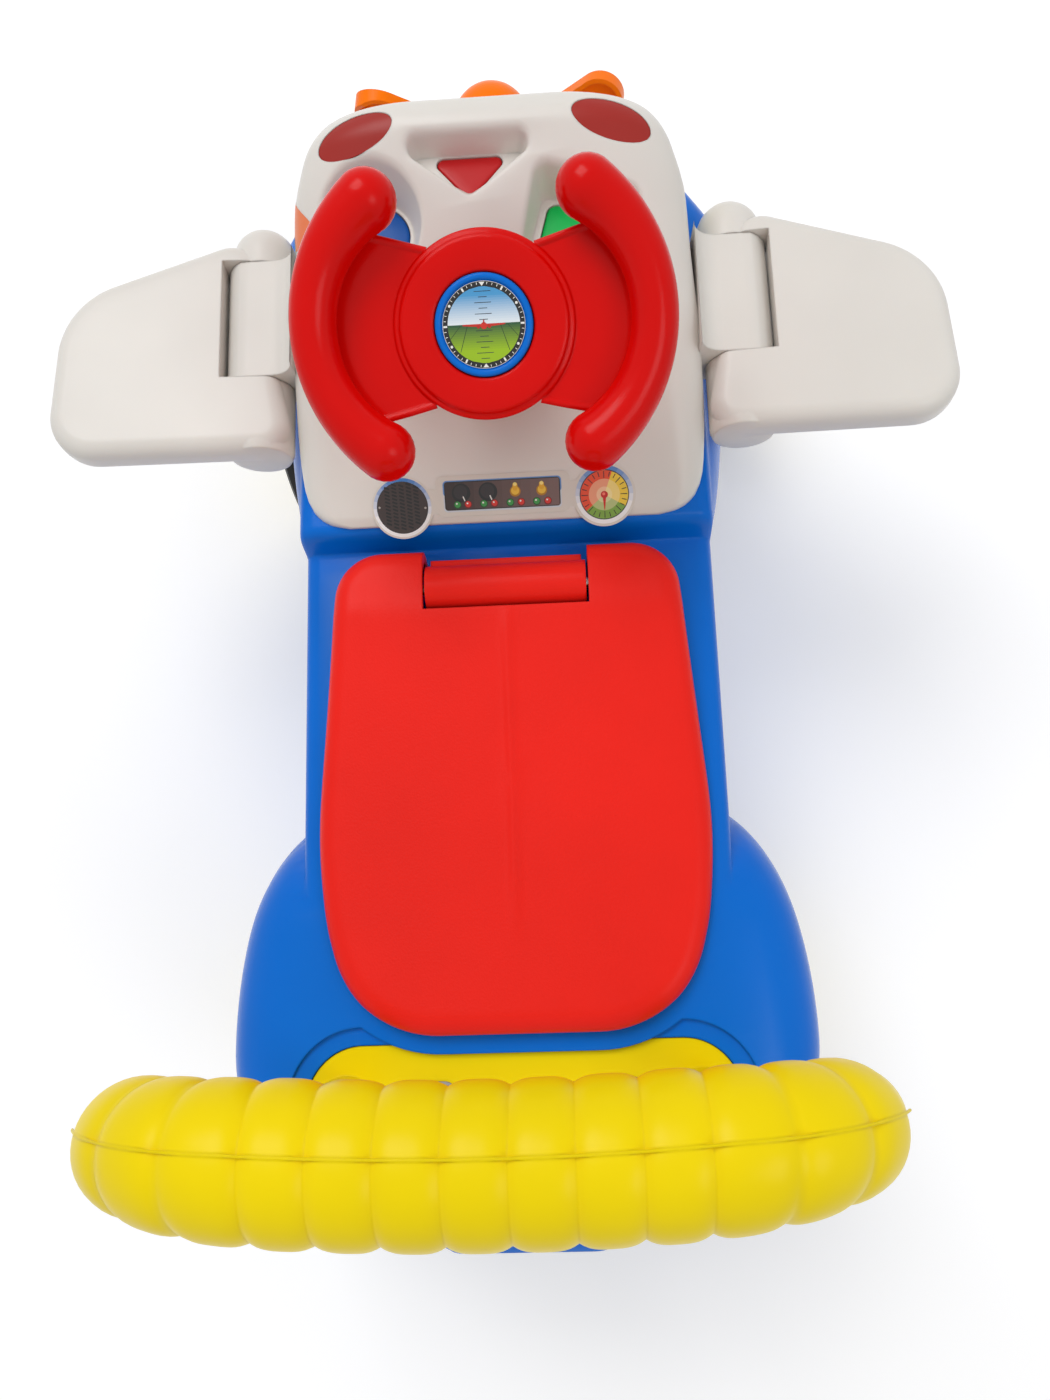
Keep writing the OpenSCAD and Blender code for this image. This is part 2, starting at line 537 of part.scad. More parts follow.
module shape_button(k) {
    translate([0, 0, well_face_z[k] - button_t]) linear_extrude(button_t) well_shape(k, -fit_gap);
    translate([well_stem(k)[0], well_stem(k)[1], well_face_z[k] - button_t - spring_room - 6])
        cylinder(r = stem_r, h = spring_room + 7, $fn = 32);
}
module round_button() color(blue) shape_button(0);
module triangle_button() color(red) shape_button(1);
module square_button() color(green) shape_button(2);
module return_spring(r, h, wire) difference() {
    cylinder(r = r + wire, h = h, $fn = 40);
    translate([0, 0, -1]) cylinder(r = r, h = h + 2, $fn = 40);
}
module button_spring(k) color(steel)
    translate([well_stem(k)[0], well_stem(k)[1], well_face_z[k] - button_t - spring_room])
        return_spring(stem_r + 0.6, spring_room, 1.2);
module round_spring() button_spring(0);
module triangle_spring() button_spring(1);
module square_spring() button_spring(2);

module sound_module() color(black) on_dash(6, 24, -cowl_wall * 1.08 - 21.3) cube([56, 34, 21]);
module speaker() color(black) on_dash(-50, 22, -cowl_wall * 1.2 - 12) {
    cylinder(r1 = 12, r2 = 20, h = 8, $fn = 48);
    translate([0, 0, 7.9]) cylinder(r = 20, h = 3.6, $fn = 48);
}

// Steering wheel in the dash frame, its face parallel to the dash
shaft_v = 84.2;
disc_t = 9;
web_t = 5;
grip_lift = 6;
grip_x = 12.4;
grip_end_a = 56;
neck_r = 19;
module on_wheel(n = 0) on_dash(0, shaft_v, wheel_stand + n) children();
module steering_wheel() color(red) on_wheel() difference() {
    union() {
        translate([0, 0, -disc_t]) cylinder(r = disc_r, h = disc_t - 1.5, $fn = 96);
        translate([0, 0, -1.5]) cylinder(r1 = disc_r, r2 = disc_r - 1.5, h = 1.5, $fn = 96);
        translate([0, 0, -wheel_stand + collar_h + fit_gap]) cylinder(r1 = neck_r, r2 = neck_r + 4, h = wheel_stand - collar_h - disc_t - fit_gap + 0.01, $fn = 64);
        for (s = sides) mirror([s < 0 ? 1 : 0, 0, 0]) {
            translate([grip_x, 0, grip_lift]) rotate([0, 0, -grip_end_a]) rotate_extrude(angle = 2 * grip_end_a, $fn = 96)
                translate([grip_bend_r, 0]) circle(r = grip_r, $fn = 32);
            for (e = sides) translate([grip_x + grip_bend_r * cos(grip_end_a), e * grip_bend_r * sin(grip_end_a), grip_lift])
                sphere(r = grip_ball_r, $fn = 32);
            translate([0, 0, -web_t - 3]) linear_extrude(web_t)
                polygon([[15, -31], [53, -41], [66, -26], [70, 0], [66, 26], [52, 39], [15, 31]]);
        }
    }
    translate([0, 0, -6.5]) cylinder(r = horn_r + fit_gap, h = 10, $fn = 96);
    translate([0, 0, -6.5 - 8]) cylinder(r = 9, h = 10, $fn = 48);
    translate([0, 0, -wheel_stand]) cylinder(r = shaft_r, h = wheel_stand - 18, $fn = 48);
}
shaft_top = -18.2;
shaft_low = -wheel_stand - 34;
module steering_shaft() color(steel) on_wheel(shaft_low) cylinder(r = shaft_r, h = shaft_top - shaft_low, $fn = 48);
module shaft_clip() color(black) on_wheel(-wheel_stand - 16.3) difference() {
    cylinder(r = shaft_r + 5, h = 4, $fn = 40);
    translate([0, 0, -1]) cylinder(r = shaft_r, h = 6, $fn = 40);
}
horn_t = 4;
horn_rest = -6.5 + horn_travel + 0.3;
module horn_button() color([0.02, 0.36, 0.80]) on_wheel(horn_rest) {
    difference() {
        cylinder(r = horn_r, h = horn_t, $fn = 96);
        translate([0, 0, horn_t - 1.2]) cylinder(r = horn_r - 3.4, h = 3, $fn = 96);
    }
    translate([0, 0, -4]) cylinder(r = 5, h = 4.5, $fn = 32);
}
module horn_dial() color([0.5, 0.75, 0.9]) on_wheel(horn_rest + horn_t - 1.2) cylinder(r = horn_r - 3.6, h = 1, $fn = 96);
// Drawn at the length that it has with the horn pressed in
module horn_spring() color(steel) on_wheel(-14.5) return_spring(6, 14.3 + horn_rest - horn_travel, 1.2);

// Wings: one moulded panel with two knuckles that straddle the fixed root
wing_axis = [cowl_half_w + 20, 252];
wing_slot = [126, 194.5];
wing_tip_x = half_span - 2;
wing_circles = [[wing_axis[0] + 0.5, 96, 15], [wing_tip_x - 25, 104, 25], [wing_tip_x - 48, 141, 46], [wing_axis[0] + 16, 190, 17]];
function wing_ring(inset, z) = [for (p = round_outline(wing_circles, inset, 56)) [p[0] - wing_axis[0], p[1], z]];
wing_top = 18;
module wing_solid() difference() {
    union() {
        loft([wing_ring(7, wing_top - wing_t), wing_ring(2.5, wing_top - wing_t + 1.2), wing_ring(0.4, wing_top - wing_t + 3.2),
            wing_ring(0, wing_top - wing_t + 6), wing_ring(0, wing_top - 9), wing_ring(1.1, wing_top - 5),
            wing_ring(3.6, wing_top - 2), wing_ring(7.5, wing_top - 0.4), wing_ring(12, wing_top)]);
        for (y = [[97, wing_slot[0] - fit_gap], [wing_slot[1] + fit_gap, 205]]) {
            translate([0, y[0], 0]) rotate([-90, 0, 0]) cylinder(r = knuckle_r, h = y[1] - y[0], $fn = 64);
        }
        for (y = [97, 205]) translate([0, y, 0]) sphere(r = knuckle_r, $fn = 48);
    }
    translate([-60, wing_slot[0] - fit_gap, -40]) cube([60 + knuckle_r + 2.2, wing_slot[1] - wing_slot[0] + 2 * fit_gap, 80]);
    rotate([-90, 0, 0]) translate([0, 0, 60]) cylinder(r = wing_pin_r + run_gap, h = 147, $fn = 48);
}
module wing(s) color(white) mirror([s < 0 ? 1 : 0, 0, 0]) translate([wing_axis[0], 0, wing_axis[1]])
    rotate([0, -wing_rise, 0]) wing_solid();
module wing_left() wing(-1);
module wing_right() wing(1);
module wing_root(s) color(white) mirror([s < 0 ? 1 : 0, 0, 0]) difference() {
    union() {
        translate([wing_axis[0], wing_slot[0], wing_axis[1]]) rotate([-90, 0, 0])
            cylinder(r = knuckle_r - 0.3, h = wing_slot[1] - wing_slot[0], $fn = 64);
        translate([cowl_half_w, wing_slot[0], cowl_seam_z + 2])
            cube([wing_axis[0] - cowl_half_w, wing_slot[1] - wing_slot[0], 20]);
    }
    translate([wing_axis[0], 80, wing_axis[1]]) rotate([-90, 0, 0]) cylinder(r = wing_pin_r, h = 130, $fn = 48);
}
module wing_root_left() wing_root(-1);
module wing_root_right() wing_root(1);
module wing_pin(s) color(steel) translate([s * wing_axis[0], 102, wing_axis[1]]) rotate([-90, 0, 0])
    cylinder(r = wing_pin_r, h = 104, $fn = 48);
module wing_pin_left() wing_pin(-1);
module wing_pin_right() wing_pin(1);

// Propeller: paddle blades with hollow backs around a round spinner, on its own shaft through the nose
prop_z = cowl_seam_z + 5;
blade_pitch = -20;
blade_t = 8;
module blade_outline(inset) hull() {
    translate([blade_reach - blade_w / 2, 0]) circle(r = blade_w / 2 - inset, $fn = 48);
    translate([14, 0]) circle(r = blade_w / 4 - inset, $fn = 32);
}
module propeller() color(orange) translate([0, prop_y, prop_z]) difference() {
    union() {
        rotate([-90, 0, 0]) cylinder(r1 = spinner_r - 3, r2 = spinner_r, h = hub_l, $fn = 64);
        translate([0, hub_l, 0]) sphere(r = spinner_r, $fn = 64);
        for (i = [0:blade_count - 1]) rotate([0, -90 - (i + 0.5) * 360 / blade_count - 30 * (blade_count - 3), 0])
            rotate([blade_pitch, 0, 0]) translate([0, 6 + blade_t / 2, 0]) rotate([90, 0, 0]) difference() {
                linear_extrude(blade_t) blade_outline(0);
                translate([0, 0, 2.5]) linear_extrude(blade_t) intersection() {
                    blade_outline(2.5);
                    translate([spinner_r + 2, -40]) square([80, 80]);
                }
            }
    }
    translate([-blade_reach - 10, -60, -blade_reach - 10]) cube([2 * blade_reach + 20, 60, 2 * blade_reach + 20]);
    rotate([-90, 0, 0]) translate([0, 0, -1]) cylinder(r = prop_shaft_r, h = 25, $fn = 48);
}
shaft_rear_y = nose_y - 38;
module propeller_shaft() color(steel) translate([0, shaft_rear_y, prop_z]) rotate([-90, 0, 0]) {
    cylinder(r = prop_shaft_r, h = prop_y - shaft_rear_y + 24, $fn = 48);
    cylinder(r = prop_shaft_r + 3, h = 6, $fn = 48);
}

// Front truck: beam that carries the front axle and turns about the kingpin
module steered() translate([0, front_axle_y, 0]) rotate([0, 0, steer_rest]) children();
beam_half = front_track - wheel_w / 2 - 3;
module front_truck() color(black) steered() difference() {
    union() {
        across(-beam_half, beam_half) translate([0, wheel_r]) circle(r = axle_r + 5, $fn = 48);
        translate([-beam_half + 24, -7, wheel_r - 6]) cube([2 * beam_half - 48, 14, 14]);
        translate([0, 0, wheel_r + 5]) cylinder(r = kingpin_r + 9, h = bridge_z - fit_gap - wheel_r - 5, $fn = 48);
    }
    across(-beam_half - 1, beam_half + 1) translate([0, wheel_r]) circle(r = axle_r, $fn = 48);
    translate([0, 0, wheel_r + axle_r + 2]) cylinder(r = kingpin_r, h = 60, $fn = 48);
}
module kingpin() color(steel) steered() translate([0, 0, wheel_r + axle_r + 2])
    cylinder(r = kingpin_r, h = bridge_z + 36 - wheel_r - axle_r - 2, $fn = 48);
module kingpin_clip() color(steel) steered() translate([0, 0, bridge_z + 30.4]) difference() {
    cylinder(r = kingpin_r + 4, h = 2, $fn = 40);
    translate([0, 0, -1]) cylinder(r = kingpin_r, h = 4, $fn = 40);
}
// A hub cap sits this far out from the middle of its wheel, and the axle ends under it
cap_seat = wheel_w / 2 - 5.5;
module front_axle() color(steel) steered() across(-front_track - cap_seat - 2.5, front_track + cap_seat + 2.5)
    translate([0, wheel_r]) circle(r = axle_r, $fn = 48);
module rear_axle() color(steel) across(-rear_track - cap_seat - 2.5, rear_track + cap_seat + 2.5)
    translate([rear_axle_y, wheel_r]) circle(r = axle_r, $fn = 48);

cap_t = 7;
// Wheel turned about x, with a crowned tread, a dished face and a hub
module wheel_solid() rotate([90, 0, 90]) rotate_extrude($fn = 96) {
    h = wheel_w / 2;
    polygon([[axle_r + run_gap, -h], [14, -h], [16, -h + 5], [wheel_r - 18, -h + 6], [wheel_r - 14, -h + 1], [wheel_r - 8, -h],
        [wheel_r - 3, -h + 2], [wheel_r - 0.8, -h + 6], [wheel_r, -3], [wheel_r, 3], [wheel_r - 0.8, h - 6], [wheel_r - 3, h - 2],
        [wheel_r - 8, h], [wheel_r - 14, h - 1], [wheel_r - 18, h - 6], [20, h - 6], [18, h - 4], [axle_r + run_gap, h - 4]]);
}

module cap_solid() translate([cap_seat, 0, 0]) rotate([90, 0, 90]) rotate_extrude($fn = 64)
    polygon([[0, 3], [20.4, 3], [20.4, 0.2], [wheel_r - 21, 0.2], [wheel_r - 23, 3.2], [24, 5.2], [10, cap_t], [0, cap_t]]);
module front_spin(s) steered() translate([s * front_track, 0, wheel_r]) mirror([s < 0 ? 1 : 0, 0, 0]) children();
module rear_spin(s) translate([s * rear_track, rear_axle_y, wheel_r]) mirror([s < 0 ? 1 : 0, 0, 0]) children();
module front_wheel_left() color(black) front_spin(-1) wheel_solid();
module front_wheel_right() color(black) front_spin(1) wheel_solid();
module rear_wheel_left() color(black) rear_spin(-1) wheel_solid();
module rear_wheel_right() color(black) rear_spin(1) wheel_solid();
module front_cap_left() color(yellow) front_spin(-1) cap_solid();
module front_cap_right() color(yellow) front_spin(1) cap_solid();
module rear_cap_left() color(yellow) rear_spin(-1) cap_solid();
module rear_cap_right() color(yellow) rear_spin(1) cap_solid();

// Push handle: ribbed grip swept along an arch, legs, and a foot plate in its recess
grip_y = -232.6;
foot_z = deck_z - foot_t - 4;
leg_foot = [body_half_w - 24, -258];
leg_r = 13;
bend_x = grip_flat + grip_corner_r;
bend_z = grip_z - grip_corner_r;
rib_count = 13;
rib_pitch = 2 * (grip_flat + grip_corner_r * PI * 0.34) / rib_count;
core_r = rib_r - groove_depth;
arc_len = grip_corner_r * PI / 2;
sweep_half = grip_flat + arc_len;
rib_span = rib_pitch * rib_count / 2;
// Place and direction along the arch at distance t from its middle
function grip_angle(t) = abs(t) < grip_flat ? 0 : sign(t) * (abs(t) - grip_flat) / grip_corner_r * 180 / PI;
function grip_point(t) = let (a = grip_angle(t))
    abs(t) < grip_flat ? [t, grip_z]
    : [sign(t) * (grip_flat + grip_corner_r * sin(abs(a))), bend_z + grip_corner_r * cos(a)];
rib_profile = [[0, 0], [0.14, 0.8], [0.3, 1], [0.7, 1], [0.86, 0.8]];
grip_stations = concat(
    [for (i = [0:3]) [-sweep_half + (sweep_half - rib_span) * i / 4, 0]],
    [for (i = [0:rib_count - 1], q = rib_profile) [-rib_span + (i + q[0]) * rib_pitch, q[1]]],
    [for (i = [4:-1:0]) [sweep_half - (sweep_half - rib_span) * i / 4, 0]]
);
// The grip's centre line leans and bows, its ribs shrink a little towards the ends
function arch_y(x, z) = grip_y - (grip_z - z) * grip_lean + grip_bow * pow(x / 110, 2);
function end_r(t) = leg_r + 4.2 - 1.7 * (abs(t) - rib_span) / (sweep_half - rib_span);
function rib_shrink(t) = 1 - 0.16 * pow(max(0, (abs(t) - 60) / (rib_span - 60)), 1.5);
function grip_ring(t, swell) = let (p = grip_point(t), a = grip_angle(t), y = arch_y(p[0], p[1]),
        r = abs(t) > rib_span + 0.1 ? end_r(t) : (core_r + groove_depth * swell) * rib_shrink(t))
    [for (i = [0:sweep_sides - 1]) let (u = r * cos(i * 360 / sweep_sides), v = r * sin(i * 360 / sweep_sides))
        [p[0] + v * sin(a), y + u, p[1] + v * cos(a)]];
function leg_ring(s, f) = let (top = [bend_x, arch_y(bend_x, bend_z), bend_z], low = [leg_foot[0], leg_foot[1], foot_z + 2],
        c = low + (top - low) * f, r = leg_r + 2.5 * f + 6 * pow(1 - f, 10))
    [for (i = [0:sweep_sides - 1]) let (u = r * cos(i * 360 / sweep_sides), v = r * sin(i * 360 / sweep_sides))
        [s * (c[0] + v), c[1] + u, c[2]]];
sweep_sides = 24;
leg_steps = [0, 0.06, 0.14, 0.3, 0.6, 0.9];
module push_handle() color(yellow) difference() {
    union() {
        loft(concat([for (f = leg_steps) leg_ring(-1, f)], [for (g = grip_stations) grip_ring(g[0], g[1])],
            [for (i = [len(leg_steps) - 1:-1:0]) leg_ring(1, leg_steps[i])]));
        translate([0, 0, foot_z]) linear_extrude(foot_t) foot_shape(0);
    }
    for (p = handle_screw_points) translate([p[0], p[1], foot_z - 1]) cylinder(r = 2.2, h = 30, $fn = 24);
    for (s = sides) translate([s * 48, -250, foot_z + foot_t - 3]) handle_cap_shape(0);
}
module handle_cap_shape(grow) linear_extrude(8) hull() for (e = sides) translate([e * 8, 0]) circle(r = 7 - grow, $fn = 32);
module handle_caps() color(grey) for (s = sides) translate([s * 48, -250, foot_z + foot_t - 3]) intersection() {
    handle_cap_shape(0.2);
    translate([-30, -30, 0]) cube([60, 60, 4.5]);
}
module handle_screws() color(steel) for (p = handle_screw_points) translate([p[0], p[1], foot_z + foot_t + 2.2])
    mirror([0, 0, 1]) translate([0, 0, 2.2]) { cylinder(r = 2, h = foot_t + 8, $fn = 24); translate([0, 0, -2.2]) cylinder(r = 4.5, h = 2.2, $fn = 32); }

module battery_box() color(black) difference() {
    translate([-door_half[0] + 2, door_y - door_half[1] + 2, body_floor_z + 4.2]) cube([2 * door_half[0] - 4, 2 * door_half[1] - 4, 30]);
    translate([-door_half[0] + 4, door_y - door_half[1] + 4, body_floor_z]) cube([2 * door_half[0] - 8, 2 * door_half[1] - 8, 32]);
}
module battery_door() color(blue) translate([-door_half[0], door_y - door_half[1], body_floor_z]) cube([2 * door_half[0], 2 * door_half[1], 4]);

placed() body_shell();
placed() chassis_pan();
placed() storage_bin();
placed() seat_lid();
placed() seat_hinge_block();
placed() seat_hinge_pin();
placed() cowl();
placed() dash_label();
placed() round_button();
placed() triangle_button();
placed() square_button();
placed() round_spring();
placed() triangle_spring();
placed() square_spring();
placed() lamp_lens_left();
placed() lamp_lens_right();
placed() sound_module();
placed() speaker();
placed() steering_wheel();
placed() steering_shaft();
placed() shaft_clip();
placed() horn_button();
placed() horn_dial();
placed() horn_spring();
placed() wing_left();
placed() wing_right();
placed() wing_root_left();
placed() wing_root_right();
placed() wing_pin_left();
placed() wing_pin_right();
placed() propeller();
placed() propeller_shaft();
placed() front_truck();
placed() kingpin();
placed() kingpin_clip();
placed() front_axle();
placed() front_wheel_left();
placed() front_wheel_right();
placed() front_cap_left();
placed() front_cap_right();
placed() rear_axle();
placed() rear_wheel_left();
placed() rear_wheel_right();
placed() rear_cap_left();
placed() rear_cap_right();
placed() push_handle();
placed() handle_caps();
placed() handle_screws();
placed() battery_box();
placed() battery_door();
placed() chassis_screws();
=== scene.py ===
import json
import math

import bmesh
import bpy
import numpy as np
from mathutils import Matrix, Vector
from mathutils.bvhtree import BVHTree


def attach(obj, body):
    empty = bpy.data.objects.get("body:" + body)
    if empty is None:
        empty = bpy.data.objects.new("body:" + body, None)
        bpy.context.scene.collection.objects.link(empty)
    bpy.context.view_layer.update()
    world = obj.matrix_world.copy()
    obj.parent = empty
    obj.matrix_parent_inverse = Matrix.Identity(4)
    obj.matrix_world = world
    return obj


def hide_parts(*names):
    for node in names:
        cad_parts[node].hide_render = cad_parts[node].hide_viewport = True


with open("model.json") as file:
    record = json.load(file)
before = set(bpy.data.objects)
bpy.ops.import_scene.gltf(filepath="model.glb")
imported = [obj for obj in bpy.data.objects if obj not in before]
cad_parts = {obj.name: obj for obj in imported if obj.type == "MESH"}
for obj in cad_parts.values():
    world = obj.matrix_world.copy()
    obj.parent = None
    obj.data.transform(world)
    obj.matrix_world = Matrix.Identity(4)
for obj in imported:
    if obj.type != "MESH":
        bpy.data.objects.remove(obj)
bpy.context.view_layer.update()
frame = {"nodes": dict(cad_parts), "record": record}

# The CAD source works with y from the cowl's own zero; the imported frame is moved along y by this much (mm)
SHIFT = 8.5
DECK = 222.0
SEAM = 240.0
TILT = math.radians(26.4)


# Curves
def smooth(table):
    """Monotone cubic through (y, value) pairs."""
    xs = np.array([t[0] for t in table], float)
    ys = np.array([t[1] for t in table], float)
    h = np.diff(xs)
    d = np.diff(ys) / h
    m = np.zeros(len(xs))
    for i in range(1, len(xs) - 1):
        if d[i - 1] * d[i] > 0:
            w1, w2 = 2 * h[i] + h[i - 1], h[i] + 2 * h[i - 1]
            m[i] = (w1 + w2) / (w1 / d[i - 1] + w2 / d[i])
    m[0], m[-1] = d[0], d[-1]

    def f(x):
        x = np.clip(np.asarray(x, float), xs[0], xs[-1])
        i = np.clip(np.searchsorted(xs, x) - 1, 0, len(h) - 1)
        t = (x - xs[i]) / h[i]
        return ((2 * t**3 - 3 * t**2 + 1) * ys[i] + (t**3 - 2 * t**2 + t) * h[i] * m[i]
                + (-2 * t**3 + 3 * t**2) * ys[i + 1] + (t**3 - t**2) * h[i] * m[i + 1])
    return f


def dome(u):
    return np.sqrt(np.clip(1 - np.asarray(u, float) ** 2, 0, 1))


# Meshes
def mesh_object(name, verts, faces, mat=None, sharp=32, mm=True):
    """A mesh object from millimetres in the source's frame."""
    v = np.array(verts, float)
    if mm:
        v = (v + [0, SHIFT, 0]) / 1000.0
    me = bpy.data.meshes.new(name)
    me.from_pydata([tuple(p) for p in v], [], [tuple(int(i) for i in f) for f in faces])
    me.validate()
    bm = bmesh.new()
    bm.from_mesh(me)
    bmesh.ops.remove_doubles(bm, verts=bm.verts, dist=1e-6)
    bmesh.ops.recalc_face_normals(bm, faces=bm.faces)
    bm.to_mesh(me)
    bm.free()
    ob = bpy.data.objects.new(name, me)
    bpy.context.scene.collection.objects.link(ob)
    finish_mesh(ob, sharp)
    if mat:
        me.materials.append(mat)
    return ob


def finish_mesh(ob, sharp=32):
    me = ob.data
    me.shade_smooth()
    if sharp:
        me.set_sharp_from_angle(angle=math.radians(sharp))


def loft(name, rings, mat=None, caps=True, close=True, sharp=32):
    """Skin through rings of the same number of points."""
    n, m = len(rings[0]), len(rings)
    verts = [p for r in rings for p in r]
    faces = []
    for k in range(m - 1):
        for i in range(n if close else n - 1):
            a, b = k * n + i, k * n + (i + 1) % n
            faces.append((a, b, b + n, a + n))
    if caps:
        faces.append(tuple(range(n - 1, -1, -1)))
        faces.append(tuple((m - 1) * n + i for i in range(n)))
    return mesh_object(name, verts, faces, mat, sharp)


def prism(name, outline, z0, z1, mat=None, to=None):
    """Straight prism on an outline of (x, y); to maps each point."""
    rings = [[(p[0], p[1], z) for p in outline] for z in (z0, z1)]
    if to:
        rings = [[to(*p) for p in r] for r in rings]
    return loft(name, rings, mat)


def lathe(name, profile, mat=None, n=96, to=None, sharp=32, closed=False):
    """Profile of (radius, height) turned about z; to maps each point."""
    rings = []
    for r, z in profile:
        rings.append([(max(r, 1e-4) * math.cos(2 * math.pi * i / n), max(r, 1e-4) * math.sin(2 * math.pi * i / n), z) for i in range(n)])
    if closed:
        rings.append(rings[0])
    if to:
        rings = [[to(*p) for p in r] for r in rings]
    return loft(name, rings, mat, caps=not closed, sharp=sharp)


def cut(ob, tools, sharp=32, op="DIFFERENCE"):
    """Booleans, applied; the tools are removed."""
    for t in tools:
        m = ob.modifiers.new("cut", "BOOLEAN")
        m.object, m.operation, m.solver = t, op, "EXACT"
    me = bpy.data.meshes.new_from_object(ob.evaluated_get(bpy.context.evaluated_depsgraph_get()))
    ob.modifiers.clear()
    old, ob.data = ob.data, me
    bpy.data.meshes.remove(old)
    for t in tools:
        bpy.data.objects.remove(t)
    finish_mesh(ob, sharp)
    return ob


def join(name, objs):
    me = bpy.data.meshes.new(name)
    bm = bmesh.new()
    mats = []
    for o in objs:
        base = len(bm.faces)
        bm.from_mesh(o.data)
        bm.faces.ensure_lookup_table()
        names = list(o.data.materials)
        for f in bm.faces[base:]:
            m = names[f.material_index] if names else None
            if m not in mats:
                mats.append(m)
            f.material_index = mats.index(m)
    bm.to_mesh(me)
    bm.free()
    for m in mats:
        me.materials.append(m)
    for o in objs:
        bpy.data.objects.remove(o)
    ob = bpy.data.objects.new(name, me)
    bpy.context.scene.collection.objects.link(ob)
    return ob


def tube(name, path, radius, mat=None, n=24, sharp=32):
    """Round tube along a list of points; radius is a number or a list."""
    path = [Vector(p) for p in path]
    rs = radius if hasattr(radius, "__len__") else [radius] * len(path)
    rings = []
    up = Vector((0, 1, 0.01))
    for i, p in enumerate(path):
        t = (path[min(i + 1, len(path) - 1)] - path[max(i - 1, 0)]).normalized()
        u = (up - t * up.dot(t)).normalized()
        v = t.cross(u)
        up = u
        rings.append([p + rs[i] * (math.cos(2 * math.pi * k / n) * u + math.sin(2 * math.pi * k / n) * v) for k in range(n)])
    return loft(name, rings, mat, sharp=sharp)


def circles_outline(circles, inset=0.0, n=160):
    """Outline around a set of circles, drawn in by inset."""
    out = []
    for i in range(n):
        a = (i + 0.5) * 2 * math.pi / n
        c, s = math.cos(a), math.sin(a)
        best = max(circles, key=lambda q: q[0] * c + q[1] * s + q[2])
        r = max(best[2] - inset, 0.3)
        out.append((best[0] + r * c, best[1] + r * s))
    return even(out, n)


def even(pts, n):
    """The closed outline again with n points at even steps."""
    p = np.array(pts + [pts[0]], float)
    s = np.concatenate([[0], np.cumsum(np.hypot(*(np.diff(p, axis=0).T)))])
    t = np.arange(n) * s[-1] / n
    return [(float(x), float(y)) for x, y in zip(np.interp(t, s, p[:, 0]), np.interp(t, s, p[:, 1]))]


# Materials
def plastic(name, rgb, rough=0.3, grain=0.0, shine=0.25, sss=0.0, wear=0.05, bevel=0.0):
    """Moulded plastic: slightly uneven colour and gloss, a fine moulding ripple, rounded-looking edges."""
    m = bpy.data.materials.new(name)
    m.use_nodes = True
    t = m.node_tree
    b = t.nodes["Principled BSDF"]
    co = t.nodes.new("ShaderNodeTexCoord")
    n1 = t.nodes.new("ShaderNodeTexNoise")
    n1.inputs["Scale"].default_value = 14
    n1.inputs["Detail"].default_value = 6
    t.links.new(co.outputs["Object"], n1.inputs["Vector"])
    ramp = t.nodes.new("ShaderNodeMapRange")
    ramp.inputs["From Min"].default_value, ramp.inputs["From Max"].default_value = 0.3, 0.7
    ramp.inputs["To Min"].default_value, ramp.inputs["To Max"].default_value = 1 - wear, 1 + wear * 0.5
    t.links.new(n1.outputs["Fac"], ramp.inputs["Value"])
    mul = t.nodes.new("ShaderNodeMix")
    mul.data_type, mul.blend_type = "RGBA", "MULTIPLY"
    mul.inputs["Factor"].default_value = 1
    mul.inputs["A"].default_value = (*rgb, 1)
    t.links.new(ramp.outputs["Result"], mul.inputs["B"])
    t.links.new(mul.outputs["Result"], b.inputs["Base Color"])
    rr = t.nodes.new("ShaderNodeMapRange")
    rr.inputs["To Min"].default_value, rr.inputs["To Max"].default_value = rough * 0.85, rough * 1.2
    n2 = t.nodes.new("ShaderNodeTexNoise")
    n2.inputs["Scale"].default_value = 45
    n2.inputs["Detail"].default_value = 4
    t.links.new(co.outputs["Object"], n2.inputs["Vector"])
    t.links.new(n2.outputs["Fac"], rr.inputs["Value"])
    t.links.new(rr.outputs["Result"], b.inputs["Roughness"])
    bump = t.nodes.new("ShaderNodeBump")
    n3 = t.nodes.new("ShaderNodeTexNoise")
    n3.inputs["Scale"].default_value = 900 if grain else 160
    n3.inputs["Detail"].default_value = 2
    t.links.new(co.outputs["Object"], n3.inputs["Vector"])
    bump.inputs["Strength"].default_value = grain if grain else 0.04
    bump.inputs["Distance"].default_value = 0.0004
    t.links.new(n3.outputs["Fac"], bump.inputs["Height"])
    if bevel:
        bv = t.nodes.new("ShaderNodeBevel")
        bv.samples = 4
        bv.inputs["Radius"].default_value = bevel / 1000
        t.links.new(bv.outputs["Normal"], bump.inputs["Normal"])
    t.links.new(bump.outputs["Normal"], b.inputs["Normal"])
    b.inputs["Specular IOR Level"].default_value = shine
    if sss:
        b.inputs["Subsurface Weight"].default_value = sss
        b.inputs["Subsurface Radius"].default_value = (0.004, 0.003, 0.002)
        b.inputs["Subsurface Scale"].default_value = 1.0
    return m


def flat(name, rgb, rough=0.45, metallic=0.0):
    m = bpy.data.materials.new(name)
    m.use_nodes = True
    b = m.node_tree.nodes["Principled BSDF"]
    b.inputs["Base Color"].default_value = (*rgb, 1)
    b.inputs["Roughness"].default_value = rough
    b.inputs["Metallic"].default_value = metallic
    return m


def print_material():
    """Ink: each printed shape carries its own colour."""
    m = flat("print", (1, 1, 1), 0.32)
    a = m.node_tree.nodes.new("ShaderNodeAttribute")
    a.attribute_name = "ink"
    m.node_tree.links.new(a.outputs["Color"], m.node_tree.nodes["Principled BSDF"].inputs["Base Color"])
    return m


def ink(*rgb):
    """Linear colour from one written as 0 to 255."""
    return tuple((c / 255) ** 2.2 for c in rgb)


def between(a, b, f):
    return tuple(x + (y - x) * f for x, y in zip(a, b))


